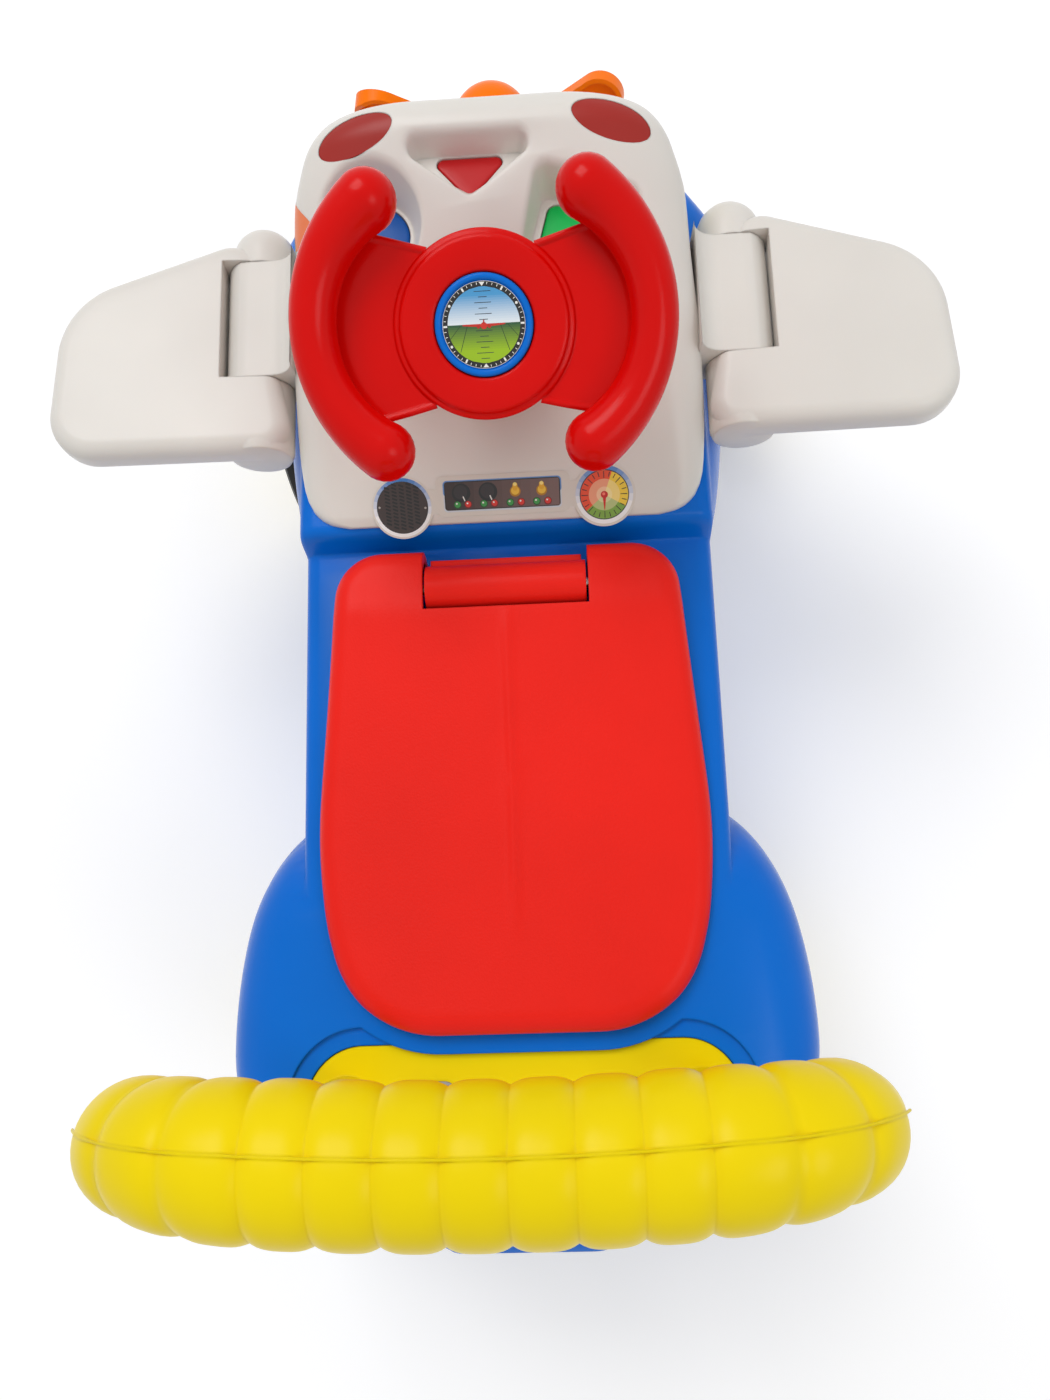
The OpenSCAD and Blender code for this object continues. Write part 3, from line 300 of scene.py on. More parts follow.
def printed(name, shapes, to):
    """Printed shapes of (outline of (u, v), colour, layer); to maps (u, v, layer) to a point."""
    verts, faces, colours = [], [], []
    for outline, colour, layer in shapes:
        faces.append(tuple(range(len(verts), len(verts) + len(outline))))
        verts += [to(u, v, layer) for u, v in outline]
        colours += [(*colour, 1)] * len(outline)
    me = bpy.data.meshes.new(name)
    me.from_pydata([tuple((np.array(p) + [0, SHIFT, 0]) / 1000) for p in verts], [], faces)
    me.color_attributes.new("ink", "FLOAT_COLOR", "POINT").data.foreach_set("color", np.array(colours).ravel())
    me.materials.append(PRINT)
    ob = bpy.data.objects.new(name, me)
    bpy.context.scene.collection.objects.link(ob)
    return ob


def round_spot(u, v, r, n=40):
    return [(u + r * math.cos(2 * math.pi * i / n), v + r * math.sin(2 * math.pi * i / n)) for i in range(n)]


def sector(u, v, r0, r1, a0, a1, n=12):
    """Part of a ring, its angles in degrees."""
    t = np.radians(np.linspace(a0, a1, n))
    return [(u + r1 * math.cos(a), v + r1 * math.sin(a)) for a in t] + [(u + r0 * math.cos(a), v + r0 * math.sin(a)) for a in t[::-1]]


def bar(u, v, length, width, degrees=0.0):
    c, q = math.cos(math.radians(degrees)), math.sin(math.radians(degrees))
    return [(u + a * c - b * q, v + a * q + b * c) for a, b in ((-length / 2, -width / 2), (length / 2, -width / 2),
                                                                (length / 2, width / 2), (-length / 2, width / 2))]


def round_box(u0, u1, v0, v1, r, n=8):
    out = []
    for cu, cv, start in ((u1 - r, v1 - r, 0), (u0 + r, v1 - r, 90), (u0 + r, v0 + r, 180), (u1 - r, v0 + r, 270)):
        out += [(cu + r * math.cos(math.radians(start + a)), cv + r * math.sin(math.radians(start + a))) for a in np.linspace(0, 90, n)]
    return out


PRINT = print_material()
BLUE = plastic("blue", (0.0, 0.150, 0.66), 0.24, shine=0.14, bevel=1.6)
WHITE = plastic("white", (0.74, 0.71, 0.665), 0.3, sss=0.05, wear=0.03, bevel=1.6)
RED = plastic("red_seat", (0.86, 0.017, 0.010), 0.36, grain=0.25, shine=0.12, bevel=1.2)
WHEEL_RED = plastic("red_wheel", (0.68, 0.002, 0.001), 0.18, shine=0.12, bevel=1.4)
YELLOW = plastic("yellow", (0.88, 0.67, 0.0), 0.3, shine=0.12, sss=0.05, bevel=1.2)
ORANGE = plastic("orange", (1.0, 0.19, 0.0), 0.3, shine=0.12, bevel=1.0)
TYRE = plastic("tyre", (0.010, 0.009, 0.008), 0.45, wear=0.2, bevel=0.8)
BLACK = plastic("black_part", (0.015, 0.015, 0.015), 0.5, bevel=0.6)
BUTTON_RED = plastic("red_button", (0.50, 0.006, 0.008), 0.34, bevel=0.8)
GREEN = plastic("green_button", (0.0, 0.46, 0.08), 0.3, bevel=1.0)
BLUE_BUTTON = plastic("blue_button", (0.0, 0.08, 0.36), 0.3, bevel=1.0)
LAMP = plastic("lamp", (0.35, 0.022, 0.016), 0.35, wear=0.08)
RING_BLUE = plastic("ring_blue", (0.0, 0.15, 0.64), 0.24, shine=0.15, bevel=0.8)
# Grey caps at the handle's fixings: their grey is painted shade, standing in for the shaded floor seen through openings
# in the handle
GREY_CAPS_PAINTED_SHADE = plastic("grey_cap", (0.33, 0.33, 0.35), 0.4, bevel=0.6)
LABEL = plastic("label_cream", (0.70, 0.66, 0.60), 0.4, wear=0.03)
STEEL = flat("steel", (0.62, 0.62, 0.63), 0.28, 1.0)

slot_mat = {"blue_body": BLUE, "white_shell": WHITE, "red_seat": RED, "red_wheel": WHEEL_RED, "yellow": YELLOW,
            "orange": ORANGE, "black_tyre": TYRE, "black_part": BLACK, "steel": STEEL, "green_button": GREEN,
            "blue_button": BLUE_BUTTON, "grey_cap": GREY_CAPS_PAINTED_SHADE, "lamp_red": LAMP}
node_slot = {s["node"]: s["material_slot"] for s in frame["record"]["subparts"]}
for name, ob in frame["nodes"].items():
    m = slot_mat.get(node_slot.get(name))
    if m:
        for s in ob.material_slots:
            s.material = m
        if not ob.material_slots:
            ob.data.materials.append(m)
for s in frame["nodes"]["horn_button"].material_slots:
    s.material = RING_BLUE


def slot_of(node):
    return node_slot[node]


def stands(ob, body, slot_name, *nodes):
    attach(ob, body)
    if nodes:
        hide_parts(*nodes)
    return ob


# Body
TAIL, NOSE, FEND_Y, FEND_FRONT = -331.0, 268.0, -228.0, -98.0
BODY_W, FLOOR = 114.0, 40.0
hull_w = smooth([(TAIL, 42), (TAIL + 5, 47), (TAIL + 22, 50), (-296, 62), (-284, 92), (-270, 110), (-250, 114), (48, 114),
                 (200, 114), (236, 108), (254, 94), (264, 74), (268, 60)])
hull_top = smooth([(TAIL, 196), (TAIL + 5, 201), (-300, 210), (-288, 222), (40, 222), (46, 238), (50, 240), (268, 240)])
hull_floor = smooth([(TAIL, 168), (TAIL + 22, 120), (-292, 74), (-270, 40), (240, 40), (258, 80), (268, 130)])
flare_w = smooth([(34, 100), (44, 113), (59, 119), (78, 122.6), (113, 127), (150, 132), (185, 135), (230, 134), (250, 120),
                  (262, 96), (268, 60)])


def body_x(y, z):
    w, t, r = hull_w(y), hull_top(y), 9.0
    main = w - np.where(z > t - r, r * (1 - dome((z - t + r) / r)), 0)
    u = np.where(y > FEND_Y, (y - FEND_Y) / (FEND_FRONT - FEND_Y), (FEND_Y - y) / 72)
    fx = 98 + 59.5 * dome(u)
    v = np.clip((FEND_FRONT + 2 - y) / 72, 0, 1)
    ft = 142 + 80 * dome(1 - v)
    ft = np.where(y < -262, 142 + 80 * dome((-262 - y) / 52), ft)
    low = ft - 46
    q = np.clip((z - low) / 46, 0, 1)
    rear = np.where((z > ft) | (u >= 1), 0, 98 + (fx - 98) * (1 - q**2.8) ** (1 / 2.8))
    gl, gt = 196.0, 238.0
    k = np.where(z < gl, 1, np.where(z > gt, 0, dome((z - gl) / (gt - gl))))
    front = np.where((y > 36) & (z < gt), 100 + (flare_w(y) - 100) * k, 0)
    return np.maximum(np.maximum(main, rear), front)


def body_skin(name, inside=0.0):
    ys = np.unique(np.concatenate([np.linspace(TAIL, TAIL + 24, 9), np.linspace(-306, -250, 17), np.linspace(-250, -98, 49),
                                   [-97.5, -90, -40, 0, 30], np.linspace(36, 54, 13), np.linspace(60, 235, 26), np.linspace(236, 268, 17)]))
    if inside:
        ys = np.concatenate([[TAIL + inside], ys[(ys > TAIL + inside + 0.5) & (ys < NOSE - inside - 0.5)], [NOSE - inside]])
    levels = np.concatenate([[0], np.linspace(0.36, 0.86, 15), np.linspace(0.875, 1, 14)])
    rings = []
    for y in ys:
        near = [min(max(y + d, TAIL), NOSE) for d in ((-4, 0, 4) if inside else (0,))]
        top = min(float(hull_top(v)) for v in near) - inside
        low = float(hull_floor(y)) - (14 if inside else 0)
        z = low + (top - low) * levels
        x = np.min([body_x(np.full_like(z, v), z + inside) for v in near], axis=0) - inside
        side = [(-a, y, b) for a, b in zip(x, z)]
        rings.append(side + [(-p[0], y, p[2]) for p in reversed(side)])
    return loft(name, rings, BLUE, sharp=28)


def across(name, x0, x1, y, z, r, n=96):
    return loft(name, [[(x, y + r * math.cos(2 * math.pi * i / n), z + r * math.sin(2 * math.pi * i / n)) for i in range(n)] for x in (x0, x1)])


def slab(name, x0, x1, outline, mat=None):
    """Outline of (y, z) swept along x."""
    return loft(name, [[(x, y, z) for y, z in outline] for x in (x0, x1)], mat)


def stadium(y0, y1, z, r, n=48):
    """Outline of two half circles about (y0, z) and (y1, z)."""
    h = np.linspace(-math.pi / 2, math.pi / 2, n)
    return [(y1 + r * math.cos(a), z + r * math.sin(a)) for a in h] + [(y0 - r * math.cos(a), z - r * math.sin(a)) for a in h]


def block(name, x0, x1, y0, y1, z0, z1):
    return prism(name, [(x0, y0), (x1, y0), (x1, y1), (x0, y1)], z0, z1)




def seat_outline(inset):
    """Outline of the seat: circles, with the sides eased into one long curve."""
    p = np.array(circles_outline(seat_c, inset, 240))
    step = np.hypot(*(p[1] - p[0]))
    k = np.arange(-24, 25)
    g = np.exp(-(k * step / 16) ** 2 / 2)
    soft = np.array([np.roll(p, -i, axis=0) * w for i, w in zip(k, g / g.sum())]).sum(axis=0)
    f = (np.clip((-p[:, 1] - 10) / 40, 0, 1) * np.clip((p[:, 1] + 205) / 30, 0, 1) * np.clip((abs(p[:, 0]) - 60) / 30, 0, 1))[:, None]
    return [(float(x), float(y)) for x, y in p * (1 - f) + soft * f]


seat_c = [(s * a, b, r) for s in (-1, 1) for a, b, r in ((67, 7.5, 26), (44, -118, 60), (40, -160, 60))]
foot_c = [(s * 82, -254, 29) for s in (-1, 1)]
WR, REAR_Y, FRONT_Y = 62.0, -215.0, 211.0
REAR_BAY, FRONT_BAY = 114.5, 96.0
LID_Y, LID_Z, BARREL_R, BARREL_L = 13.0, 235.1, 12.5, 43.0

body = body_skin("body_skin")
inner = body_skin("inner", 3.0)
keep = []
for s in (-1, 1):
    a, b = sorted((s * (REAR_BAY - 3), s * 220))
    keep.append(across("k", a, b, REAR_Y, WR, WR + 17))
    a, b = sorted((s * (FRONT_BAY - 3), s * 220))
    keep.append(slab("k", a, b, stadium(FRONT_Y - 20, FRONT_Y + 20, WR, WR + 25)))
keep.append(prism("k", circles_outline(foot_c, -13), DECK - 14, DECK + 40))
cut(inner, keep)
tools = [inner]
for s in (-1, 1):
    a, b = sorted((s * REAR_BAY, s * 220))
    tools.append(across("t", a, b, REAR_Y, WR, WR + 14))
    a, b = sorted((s * FRONT_BAY, s * 220))
    tools.append(slab("t", a, b, stadium(FRONT_Y - 20, FRONT_Y + 20, WR, WR + 22)))
    turn = np.radians(np.arange(0, 360, 4))
    lobe_r = [(x, 21.4 if x < 67 else math.sqrt(26**2 - (x - 67) ** 2) - 4.7) for x in np.linspace(44, 91, 25)]
    tools.append(loft("t", [[(s * x, LID_Y + r * math.cos(a), LID_Z + r * math.sin(a)) for a in turn] for x, r in lobe_r]))
    tools.append(slab("t", s * 118 - 5.8, s * 118 + 5.8, stadium(-64, 18, 196, 4)))
tools.append(block("t", -106, 106, FRONT_Y - 52, FRONT_Y + 36, 0, 88))
tools.append(cut(prism("t", seat_outline(7), 150, 262), [block("t2", -46, 46, -5.5, 60, 140, 280)]))
tools.append(block("t", -94, 94, 62, 224, 228, 262))
tools.append(cut(prism("t", circles_outline(foot_c, -0.4), DECK - 11, 262), [prism("t2", circles_outline(seat_c, -9.6), 140, 280)]))
tools.append(cut(prism("t", circles_outline(foot_c, -9.5), DECK - 3, 262), [prism("t2", circles_outline(seat_c, -9.6), 140, 280)]))
cut(body, tools, sharp=28)
stands(body, "body", "blue_body", "body_shell")

# Seat
def seat_z(y):
    y = np.asarray(y, float)
    mid = DECK + 24 - 12 + 12 * np.clip((y + 150) / 150, 0, 1) ** 2
    return np.minimum(DECK + 24, np.where(y > -150, mid, DECK + 12 + 3 * ((y + 150) / 70) ** 2))


def seat_ring(inset, drop, z=None):
    return [(x, y, z if z is not None else float(seat_z(y)) - drop) for x, y in seat_outline(inset)]


def seat_core(f):
    out = []
    for x, y in seat_outline(16):
        x, y = x * f, -92 + (y + 92) * f
        rib = 1.3 * math.exp(-(x / 2.4) ** 2) * min(1, max(0, (-(y) - 0) / 12)) * min(1, max(0, (y + 172) / 30)) if abs(x) < 12 else 0
        out.append((x, y, float(seat_z(y)) + rib))
    return out


rings = [seat_ring(3.5, 0, DECK + 0.4), seat_ring(1.2, 0, DECK + 1.6), seat_ring(0.2, 0, DECK + 4)]
for a in np.linspace(0, math.pi / 2, 10):
    rings.append(seat_ring(11 * (1 - math.cos(a)), 9.5 * (1 - math.sin(a))))
rings.append(seat_ring(13.5, 0))
rings += [seat_core(f) for f in np.concatenate([np.linspace(1, 0.1, 22), [0.04, 0.02]])]
lid = loft("seat", rings, RED, sharp=40)
lobe = [(LID_Y + 21 * math.cos(a), LID_Z + 21 * math.sin(a)) for a in np.linspace(-math.pi / 2, 0, 24)]
hollow = [seat_ring(5, 0, DECK - 1), seat_ring(5, 9), seat_ring(12, 4)] + [
    [(p[0], p[1], p[2] - 3) for p in seat_core(f)] for f in (0.9, 0.6, 0.3, 0.03)]
cut(lid, [loft("t", hollow), block("t", -BARREL_L - 1.2, BARREL_L + 1.2, LID_Y - BARREL_R - 1.2, 80, 200, 270),
          slab("t", -114, 114, lobe + [(53, LID_Z), (53, 205), (LID_Y, 205)])], sharp=40)
stands(lid, "lid", "red_seat", "seat_lid")

# Cowl
DY, DZ = 56.4, 248.0


def dash(u, v, n=0.0):
    return (u, DY + v * math.cos(TILT) - n * math.sin(TILT), DZ + v * math.sin(TILT) + n * math.cos(TILT))


def dash_h(y):
    return DZ + (y - DY) * math.tan(TILT)


CR, CY = 17.8, 227.3
CREST = (CY - CR * math.sin(TILT), CY + CR * 0.96)
CZ = dash_h(CREST[0]) - CR * math.cos(TILT)
nose_top = smooth([(CREST[1], CZ + 0.28 * CR), (254, 304), (260, 292), (265, 277), (268, 262)])


def cowl_top(y):
    if y < 52:
        return dash_h(48) - 1.5 + (y - 48) * 0.9
    if y < CREST[0]:
        return dash_h(y)
    return CZ + math.sqrt(CR * CR - (y - CY) ** 2) if y < CREST[1] else float(nose_top(y))


cowl_half = smooth([(48, 84), (50, 93), (54, 100), (62, 106), (74, 109), (95, 110), (170, 108.5), (200, 109), (220, 104.5), (236, 96),
                    (248, 84.5), (258, 77), (264, 66), (268, 50)])
cowl_shoulder = smooth([(48, 3), (56, 9), (100, 18), (200, 27), (240, 23.3), (268, 20)])
cowl_spread = smooth([(100, 1.25), (200, 2.1)])


def cowl_section(y, d=0.0, low=SEAM):
    """Half width, width and height of the shoulder, and top of the cowl at station y."""
    top = cowl_top(y) - d * 1.08
    r = max(1, min(float(cowl_shoulder(y)), top - low - 1))
    return float(cowl_half(y)) - d - max(0, (top - SEAM - 50) * 0.23), r * float(cowl_spread(y)), r, top


def cowl_ring(y, d=0.0, low=SEAM):
    w, h, r, top = cowl_section(y, d, low)
    side = [(-(float(cowl_half(y)) - d), low)] + [(-(w - h + h * math.cos(a)), top - r + r * math.sin(a)) for a in np.linspace(0, math.pi / 2, 18)]
    return [(x, y, z) for x, z in side] + [(-x, y, z) for x, z in reversed(side)]


def cowl_z(x, y):
    """Height of the cowl's skin over (x, y)."""
    w, h, r, top = cowl_section(y)
    return top - r + r * float(dome((abs(x) - w + h) / h)) if abs(x) > w - h else top


def cowl_x(y, z):
    """Half width of the cowl's skin at (y, z)."""
    w, h, r, top = cowl_section(y)
    if z > top - r:
        return w - h + h * float(dome((z - top + r) / r))
    return w + (float(cowl_half(y)) - w) * (top - r - z) / (top - r - SEAM)


ys = np.unique(np.concatenate([np.linspace(48, 56, 9), np.linspace(58, 210, 26), np.linspace(212, 262, 34), np.linspace(263, 268, 7)]))
cowl = loft("cowl_skin", [cowl_ring(y) for y in ys], WHITE, sharp=30)
inner = loft("i", [cowl_ring(y, 3.0, SEAM - 5) for y in np.concatenate([[51], ys[(ys > 52) & (ys < 264)], [265]])])
round_c = [(-60, 185, 26)]
tri_c = [(-32.5, 214, 5), (17, 214, 5), (-8, 198, 5)]
c14, s14 = math.cos(math.radians(14)), math.sin(math.radians(14))
sq_c = [(47 + u * c14 + v * s14, 178 - u * s14 + v * c14, 7) for u in (-20, 20) for v in (-13, 15)]
wells = [round_c, tri_c, sq_c]
face_z = [dash_h(159) - 3, dash_h(193) - 3, dash_h(160) - 3]
well_draft = [5.0, 2.2, 3.0]
button_c = [[(-60, 185, 18.8)], [(-20.8, 212.4, 3.5), (5.2, 212.4, 3.5), (-8, 196.2, 3.2)],
            [(47 + u * c14 + v * s14, 178 - u * s14 + v * c14, 5) for u in (-15, 16.5) for v in (-9.5, 11.5)]]


def button_outline(k, inset):
    """The coloured face is smaller than the floor of its well."""
    return circles_outline(button_c[k], inset, 120)


def on_skin(x, y, up=0.0):
    return cowl_z(x, min(max(y, 50), 262)) + up


def well_rings(k, grow=0.0):
    """Funnel from below the button's face up over a soft rim, which crosses the cowl's skin."""
    w, low = wells[k], face_z[k]

    def ring(inset, level):
        return [(x, y, level(x, y)) for x, y in circles_outline(w, inset - grow, 120)]

    def soft(x, y):
        return max(0.8, min(4.2, (on_skin(x, y) - low) * 0.28))
    hole = button_outline(k, -0.4)
    rings = [[(x, y, low - 9) for x, y in hole], [(x, y, low) for x, y in hole], ring(well_draft[k], lambda x, y: low + 0.2)]
    for f in (0.25, 0.5, 0.75, 1):
        rings.append(ring(well_draft[k] * (1 - f), lambda x, y: low + (on_skin(x, y) - soft(x, y) - low) * f))
    for a in np.radians((20, 40, 58, 74)):
        rings.append(ring(-3.4 * (1 - math.cos(a)), lambda x, y: on_skin(x, y) - soft(x, y) * (1 - math.sin(a))))
    rings.append(ring(-3.4 - 3.5, lambda x, y: on_skin(x, y, 1.6)))
    rings.append(ring(-3.4 - 3.6, lambda x, y: 420))
    return rings


keep = [prism("k", circles_outline(w, -3.4), face_z[k] - 18, face_z[k] + 90) for k, w in enumerate(wells)]
cut(inner, keep)
collar = lathe("collar", [(0, -10), (31, -10), (27.6, 9.5), (27, 10.6), (26, 11), (0, 11)], WHITE, to=lambda x, y, z: dash(x, 84.2 + y, z))
cut(cowl, [collar], op="UNION")
tools = [inner] + [loft("t", well_rings(k)) for k in range(3)]
for k, (mat, node, body_name) in enumerate(((BLUE_BUTTON, "round_button", "round"), (BUTTON_RED, "triangle_button", "triangle"),
                                            (GREEN, "square_button", "square"))):
    edge = [(1.6, 0.0), (0.7, -0.15), (0.2, -0.5), (0, -1.2), (0, -6)]
    face = [button_outline(k, i) for i, z in edge]
    mid = np.mean(face[0], axis=0)
    rings = [[(*(mid + (np.array(q) - mid) * f), face_z[k]) for q in face[0]] for f in (0.02, 0.5)]
    rings += [[(q[0], q[1], face_z[k] + z) for q in f] for f, (i, z) in zip(face, edge)]
    stands(loft(node + "_face", rings, mat, sharp=40), body_name, slot_of(node), node)


def oval(sx, shrink=0.0):
    a = -sx * math.radians(12)
    return [(sx * 64 + (20 - shrink) * math.cos(t) * math.cos(a) - (9.5 - shrink) * math.sin(t) * math.sin(a),
             222 + (20 - shrink) * math.cos(t) * math.sin(a) + (9.5 - shrink) * math.sin(t) * math.cos(a)) for t in np.linspace(0, 2 * math.pi, 64, endpoint=False)]


for s in (-1, 1):
    tools.append(prism("t", oval(s), 296, 380))
tools.append(lathe("t", [(0, -40), (5.1, -40), (5.1, 30), (0, 30)], to=lambda x, y, z: dash(x, 84.2 + y, z)))
cut(cowl, tools, sharp=30)
stands(cowl, "body", "white_shell", "cowl")
for s, nm in ((-1, "lamp_lens_left"), (1, "lamp_lens_right")):
    lens = loft("lens", [cowl_ring(y, 0.25, SEAM + 40) for y in ys[(ys > 196) & (ys < 250)]], LAMP)
    cut(lens, [prism("t", oval(s, 0.15), 296, 380)], op="INTERSECT")
    stands(lens, "body", "lamp_red", nm)

# Decals on the cowl's sides: plain ovals and stripes


skin = BVHTree.FromPolygons([v.co for v in cowl.data.vertices], [f.vertices for f in cowl.data.polygons])


def side_spot(s, y0, z0, ry, rz, turn, colour, layer):
    """Oval patch that lies on the cowl's side."""
    c, q = math.cos(math.radians(turn)), math.sin(math.radians(turn))
    rings = []
    for f in (1, 0.9, 0.78, 0.65, 0.5, 0.35, 0.2, 0.05):
        ring = []
        for a in np.linspace(0, 2 * math.pi, 56, endpoint=False):
            u, v = ry * f * math.cos(a), rz * f * math.sin(a)
            y, z = y0 + u * c - v * q, z0 + u * q + v * c
            spot, away, _, _ = skin.find_nearest(Vector((s * cowl_x(y, z), y + SHIFT, z)) / 1000)
            away = away if away.x * s > 0 else -away
            x, y, z = (spot + away * (0.1 + 0.06 * layer) / 1000) * 1000
            ring.append((x, y - SHIFT, z))
        rings.append(ring)
    ob = loft("decal", rings, PRINT, caps=False)
    values = np.tile(np.array([*colour, 1.0]), len(ob.data.vertices))
    ob.data.color_attributes.new("ink", "FLOAT_COLOR", "POINT").data.foreach_set("color", values)
    return ob


decals = [side_spot(1, 214, 266, 13, 25, 14, ink(24, 36, 84), 1), side_spot(1, 213, 268, 10, 20, 14, ink(226, 214, 150), 2),
          side_spot(1, 221, 275, 4.5, 14, 20, ink(240, 225, 40), 3), side_spot(1, 208, 262, 4, 12, 10, ink(70, 150, 215), 3),
          side_spot(1, 170, 258, 27, 13, 8, ink(96, 84, 92), 1), side_spot(1, 171, 258, 21, 9, 8, ink(160, 130, 110), 2),
          side_spot(1, 160, 255, 9, 5, 8, ink(214, 200, 180), 3),
          side_spot(-1, 201, 290, 22, 11, -30, ink(232, 120, 70), 1), side_spot(-1, 196, 283, 16, 6.5, -28, ink(150, 158, 160), 2)]
stands(join("side_decals", decals), "body", None)

# Steering wheel
SHAFT_V, STAND = 84.2, 70.0
DISC_R, HORN_R, BEND_R, GRIP_X, END_A = 41.5, 22.4, 64.2, 12.4, math.radians(56)


def wheel(u, v, n=0.0):
    return dash(u, SHAFT_V + v, STAND + n)


profile = [(0, -11.5), (19, -11.5), (22.8, -6.5), (22.8, -1.0), (23.1, -0.35), (23.8, 0), (36.6, 0.25), (37.9, 0.05), (38.5, -0.5),
           (38.7, -1.5), (39.1, -1.85), (40.3, -1.9), (41.1, -2.2), (41.5, -3.0), (41.5, -8.2), (40.9, -9), (24, -9.5),
           (23.5, -12), (20.5, -40), (19, -58.6), (0, -58.6)]
parts = [lathe("disc", profile, WHEEL_RED, 128, to=wheel, sharp=45)]
for s in (-1, 1):
    angles = np.linspace(-END_A, END_A, 49)
    swell = lambda a: 10.7 + 3.1 * (abs(a) / END_A) ** 2.2
    path = [(a, 0.0, swell(a)) for a in angles]
    cap = [(math.radians(k), 13.8) for k in (12, 26, 40, 54, 68, 80, 88)]
    path = [(-END_A, -r * math.sin(b), r * math.cos(b)) for b, r in reversed(cap)] + path
    path += [(END_A, r * math.sin(b), r * math.cos(b)) for b, r in cap]
    rings = []
    for a, along, r in path:
        cu, cv = GRIP_X + BEND_R * math.cos(a) - along * math.sin(a), BEND_R * math.sin(a) + along * math.cos(a)
        rings.append([wheel(s * (cu + r * math.cos(q) * math.cos(a)), cv + r * math.cos(q) * math.sin(a), 6 + r * math.sin(q))
                      for q in np.linspace(0, 2 * math.pi, 40, endpoint=False)])
    parts.append(loft("grip", rings, WHEEL_RED, sharp=50))
    # Web between disc and grip, with a rounded lip along its free edges
    edge_hi = [(24, 33.0), (36, 36.4), (48, 39.9), (58, 42.6)]
    edge_lo = [(58, -41.2), (48, -38.9), (36, -36.3), (24, -33.4)]
    outer = [(GRIP_X + (BEND_R - 3) * math.cos(a), (BEND_R - 3) * math.sin(a)) for a in np.linspace(-0.6, 0.6, 15)]
    web = edge_lo[::-1] + outer + edge_hi[::-1]
    parts.append(prism("web", [(s * x, y) for x, y in web], -8.5, -3.6, WHEEL_RED, to=wheel))
    for edge in (edge_hi, edge_lo):
        line = smooth(sorted(edge))
        parts.append(tube("lip", [wheel(s * x, float(line(x)), -4.4) for x in np.linspace(24.5, 58, 14)], 1.7, WHEEL_RED, 16))
stands(join("wheel_red", parts), "steering", "red_wheel", "steering_wheel")

ring = [(0, -3.6), (22.0, -3.6), (22.4, -3.0), (22.4, -0.2), (22.1, 0.5), (21.4, 0.9), (20.2, 0.9), (19.5, 0.5), (19.2, -0.4), (0, -0.4)]
stands(lathe("horn_ring", ring, RING_BLUE, 128, to=wheel, sharp=45), "horn", slot_of("horn_button"), "horn_button")

black, white = ink(14, 14, 16), ink(238, 238, 232)
dial = [(round_spot(0, 0, 18.6, 96), black, 1)]
levels = np.linspace(-16.4, 16.4, 34)
for low, high in zip(levels[:-1], levels[1:]):
    mid = (low + high) / 2
    top_blue, pale = ink(70, 150, 205), ink(232, 240, 244)
    far, close = ink(42, 84, 52), ink(150, 188, 20)
    colour = between(pale, top_blue, min(1, mid / 13)) if mid > 0 else between(far, close, min(1, -mid / 11))
    a, b = math.sqrt(16.45**2 - low**2), math.sqrt(16.45**2 - high**2)
    dial.append(([(-a, low), (a, low), (b, high), (-b, high)], colour, 2))
for i in range(48):
    a = i * 7.5
    if i % 4:
        dial.append((sector(0, 0, 17.3, 18.3, a - 0.45, a + 0.45, 3), white, 2))
for a in (0, 60, 120, 180, 240, 300):
    dial.append((sector(0, 0, 16.7, 18.4, a - 1.3, a + 1.3, 4), white, 2))
for a in (30, 150, 210, 330):
    dial.append((round_spot(17.5 * math.cos(math.radians(a)), 17.5 * math.sin(math.radians(a)), 0.6, 16), white, 2))
dial += [([(-1.3, 18.3), (1.3, 18.3), (0, 16.6)], white, 2), ([(-1.3, -18.3), (1.3, -18.3), (0, -16.6)], white, 2)]
for i in range(1, 7):
    dial += [(bar(0, v * 2.4 * i, 7.6 if i % 2 == (v < 0) else 3.9, 0.28), ink(30, 40, 50), 3) for v in (-1, 1)]
for s in (-1, 1):
    for x0, x1, y1 in ((10.8, 15.4, -5.3), (7.5, 11.2, -11.3)):
        dial.append(([(s * (x0 - 0.12), 0), (s * (x0 + 0.12), 0), (s * (x1 + 0.14), y1), (s * (x1 - 0.14), y1)], ink(20, 45, 25), 3))
    dial.append(([(0, 0.5), (s * 9.6, 0.5), (s * 9.8, 0.2), (s * 9.6, -0.1), (s * 4.5, -0.6), (0, -0.8)], ink(196, 44, 30), 4))
    dial.append((round_spot(s * 2.5, -0.7, 0.75, 16), ink(180, 36, 26), 5))
dial += [(round_spot(0, -0.3, 1.5, 24), ink(205, 48, 34), 6), ([(-0.35, 0.8), (0.35, 0.8), (0.25, 2.2), (-0.25, 2.2)], ink(196, 44, 30), 6)]
stands(printed("dial", dial, lambda u, v, layer: wheel(u, v, 0.1 + 0.04 * layer)), "horn", None)

# Dash label
cream, chrome, brown = ink(206, 196, 180), ink(205, 212, 220), ink(52, 40, 38)
base = [prism("base", round_spot(-54, -0.6, 16.7, 72), 0.05, 0.40, LABEL, to=dash), prism("base", round_spot(54.7, 1.2, 16.8, 72), 0.05, 0.42, LABEL, to=dash),
        prism("base", round_box(-35.5, 36.5, -6.6, 14.9, 4), 0.05, 0.44, LABEL, to=dash),
        prism("base", [(-46, -7), (-40, -4.6), (-34, -4.4), (-34, 8.2), (-40, 8.6), (-46, 12)], 0.05, 0.38, LABEL, to=dash),
        prism("base", [(46, -6), (40, -3.8), (34, -3.8), (34, 9.6), (40, 9.6), (46, 12)], 0.05, 0.36, LABEL, to=dash)]
stands(join("label", base), "body", slot_of("dash_label"), "dash_label")
label = []


